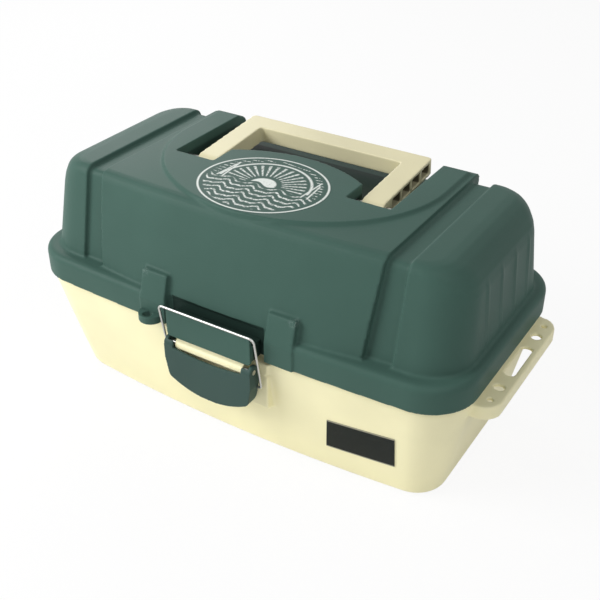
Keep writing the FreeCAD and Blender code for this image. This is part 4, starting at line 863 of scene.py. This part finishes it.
class SetStage(bpy.types.Operator):
    """Set the floor, the soft lights, the surroundings and the camera"""
    bl_idname = "tackle_box.stage"
    bl_label = "Stage"

    def execute(self, context):
        settings = context.scene.tackle_stage
        self.lay_floor()
        for name, place, width, power in LAMPS:
            self.add_light(name, place, width, getattr(settings, power))
        self.surround(context, settings.ambient)
        self.add_camera(context, settings.lens)
        context.scene.view_settings.view_transform = "Standard"
        return {"FINISHED"}

    def lay_floor(self):
        shape = bmesh.new()
        bmesh.ops.create_grid(shape, x_segments=8, y_segments=8, size=FLOOR_HALF,
                              matrix=Matrix.Translation((0.0, 0.0, FLOOR_LEVEL)))
        mesh = bpy.data.meshes.new("studio floor")
        shape.to_mesh(mesh)
        shape.free()
        floor = bpy.data.objects.new("studio_floor", mesh)
        bpy.context.scene.collection.objects.link(floor)
        finish = Finish("floor white", 0.9)
        cloud = finish.noise(3.0, 2.0)
        finish.colour(finish.blend(cloud, (0.88, 0.88, 0.88, 1.0), (0.92, 0.92, 0.92, 1.0)))
        rays = finish.node("ShaderNodeLightPath")
        glow = finish.node("ShaderNodeEmission", None,
                           {"Color": (1.0, 1.0, 1.0, 1.0), "Strength": 1.0})
        mirrored = finish.math("MAXIMUM", Value(finish, rays.outputs["Is Glossy Ray"]),
                               Value(finish, rays.outputs["Is Transmission Ray"]))
        seen = finish.math("MAXIMUM", Value(finish, rays.outputs["Is Camera Ray"]) * FLOOR_SEEN,
                           mirrored * FLOOR_MIRRORED)
        mixed = finish.node("ShaderNodeMixShader", None,
                            {0: seen, 1: finish.shader.outputs["BSDF"],
                             2: glow.outputs["Emission"]})
        finish.links.new(mixed.outputs["Shader"],
                         finish.nodes["Material Output"].inputs["Surface"])
        mesh.materials.append(finish.material)

    def add_light(self, name, place, width, power):
        light = bpy.data.lights.new(name, "AREA")
        light.shape = "SQUARE"
        light.size = width
        light.energy = power
        lamp = bpy.data.objects.new(name, light)
        lamp.location = place
        towards = Vector(LAMP_AIM) - Vector(place)
        lamp.rotation_euler = towards.to_track_quat("-Z", "Y").to_euler()
        bpy.context.scene.collection.objects.link(lamp)

    def surround(self, context, ambient):
        world = bpy.data.worlds.new("studio surroundings")
        world.use_nodes = True
        context.scene.world = world
        nodes, links = world.node_tree.nodes, world.node_tree.links
        rays = nodes.new("ShaderNodeLightPath")
        seen = nodes.new("ShaderNodeMath")
        seen.operation = "MAXIMUM"
        mirrored = nodes.new("ShaderNodeMath")
        mirrored.operation = "MAXIMUM"
        links.new(rays.outputs["Is Glossy Ray"], mirrored.inputs[0])
        links.new(rays.outputs["Is Transmission Ray"], mirrored.inputs[1])
        links.new(rays.outputs["Is Camera Ray"], seen.inputs[0])
        links.new(mirrored.outputs[0], seen.inputs[1])
        strength = nodes.new("ShaderNodeMapRange")
        strength.inputs["To Min"].default_value = ambient
        strength.inputs["To Max"].default_value = 1.0
        links.new(seen.outputs[0], strength.inputs["Value"])
        background = nodes["Background"]
        background.inputs["Color"].default_value = (1.0, 1.0, 1.0, 1.0)
        links.new(strength.outputs["Result"], background.inputs["Strength"])

    def add_camera(self, context, lens):
        camera = bpy.data.cameras.new("photo camera")
        camera.lens = lens
        camera.sensor_width = 36.0
        camera.clip_start = 0.01
        holder = bpy.data.objects.new("photo_camera", camera)
        holder.location = CAMERA_PLACE
        holder.rotation_euler = (math.radians(90.0 - CAMERA_PITCH), 0.0, math.radians(CAMERA_YAW))
        context.scene.collection.objects.link(holder)
        context.scene.camera = holder


class TackleBoxPanel(bpy.types.Panel):
    """Lists the pieces of the tackle box and their settings"""
    bl_idname = "VIEW3D_PT_tackle_box"
    bl_label = "Tackle Box"
    bl_space_type = "VIEW_3D"
    bl_region_type = "UI"
    bl_category = "Tackle Box"

    def draw(self, context):
        for operator, settings in PIECES:
            box = self.layout.box()
            box.operator(operator.bl_idname)
            if settings:
                group = getattr(context.scene, settings)
                for name in type(group).__annotations__:
                    box.prop(group, name)


PIECES = (
    (MouldBase, "tackle_base"),
    (MouldLid, "tackle_lid"),
    (MouldHandle, "tackle_handle"),
    (MouldLever, "tackle_latch"),
    (BendBail, None),
    (MouldTrays, "tackle_trays"),
    (FinishSteel, "tackle_steel"),
    (PrintEmblem, "tackle_emblem"),
    (FixPlate, "tackle_plate"),
    (SetStage, "tackle_stage"),
)
SETTINGS = {
    "tackle_lid": LidSettings,
    "tackle_base": BaseSettings,
    "tackle_handle": HandleSettings,
    "tackle_latch": LatchSettings,
    "tackle_trays": TraySettings,
    "tackle_steel": SteelSettings,
    "tackle_emblem": EmblemSettings,
    "tackle_plate": PlateSettings,
    "tackle_stage": StageSettings,
}


def register():
    for name, group in SETTINGS.items():
        bpy.utils.register_class(group)
        setattr(bpy.types.Scene, name, PointerProperty(type=group))
    for operator, settings in PIECES:
        bpy.utils.register_class(operator)
    bpy.utils.register_class(TackleBoxPanel)


def unregister():
    bpy.utils.unregister_class(TackleBoxPanel)
    for operator, settings in reversed(PIECES):
        bpy.utils.unregister_class(operator)
    for name, group in reversed(SETTINGS.items()):
        delattr(bpy.types.Scene, name)
        bpy.utils.unregister_class(group)


def main():
    register()
    bpy.ops.tackle_box.base()
    bpy.ops.tackle_box.lid()
    bpy.ops.tackle_box.handle()
    bpy.ops.tackle_box.lever()
    bpy.ops.tackle_box.bail()
    bpy.ops.tackle_box.trays()
    bpy.ops.tackle_box.steel()
    bpy.ops.tackle_box.emblem()
    bpy.ops.tackle_box.plate()
    bpy.ops.tackle_box.stage()


if __name__ == "__main__":
    main()
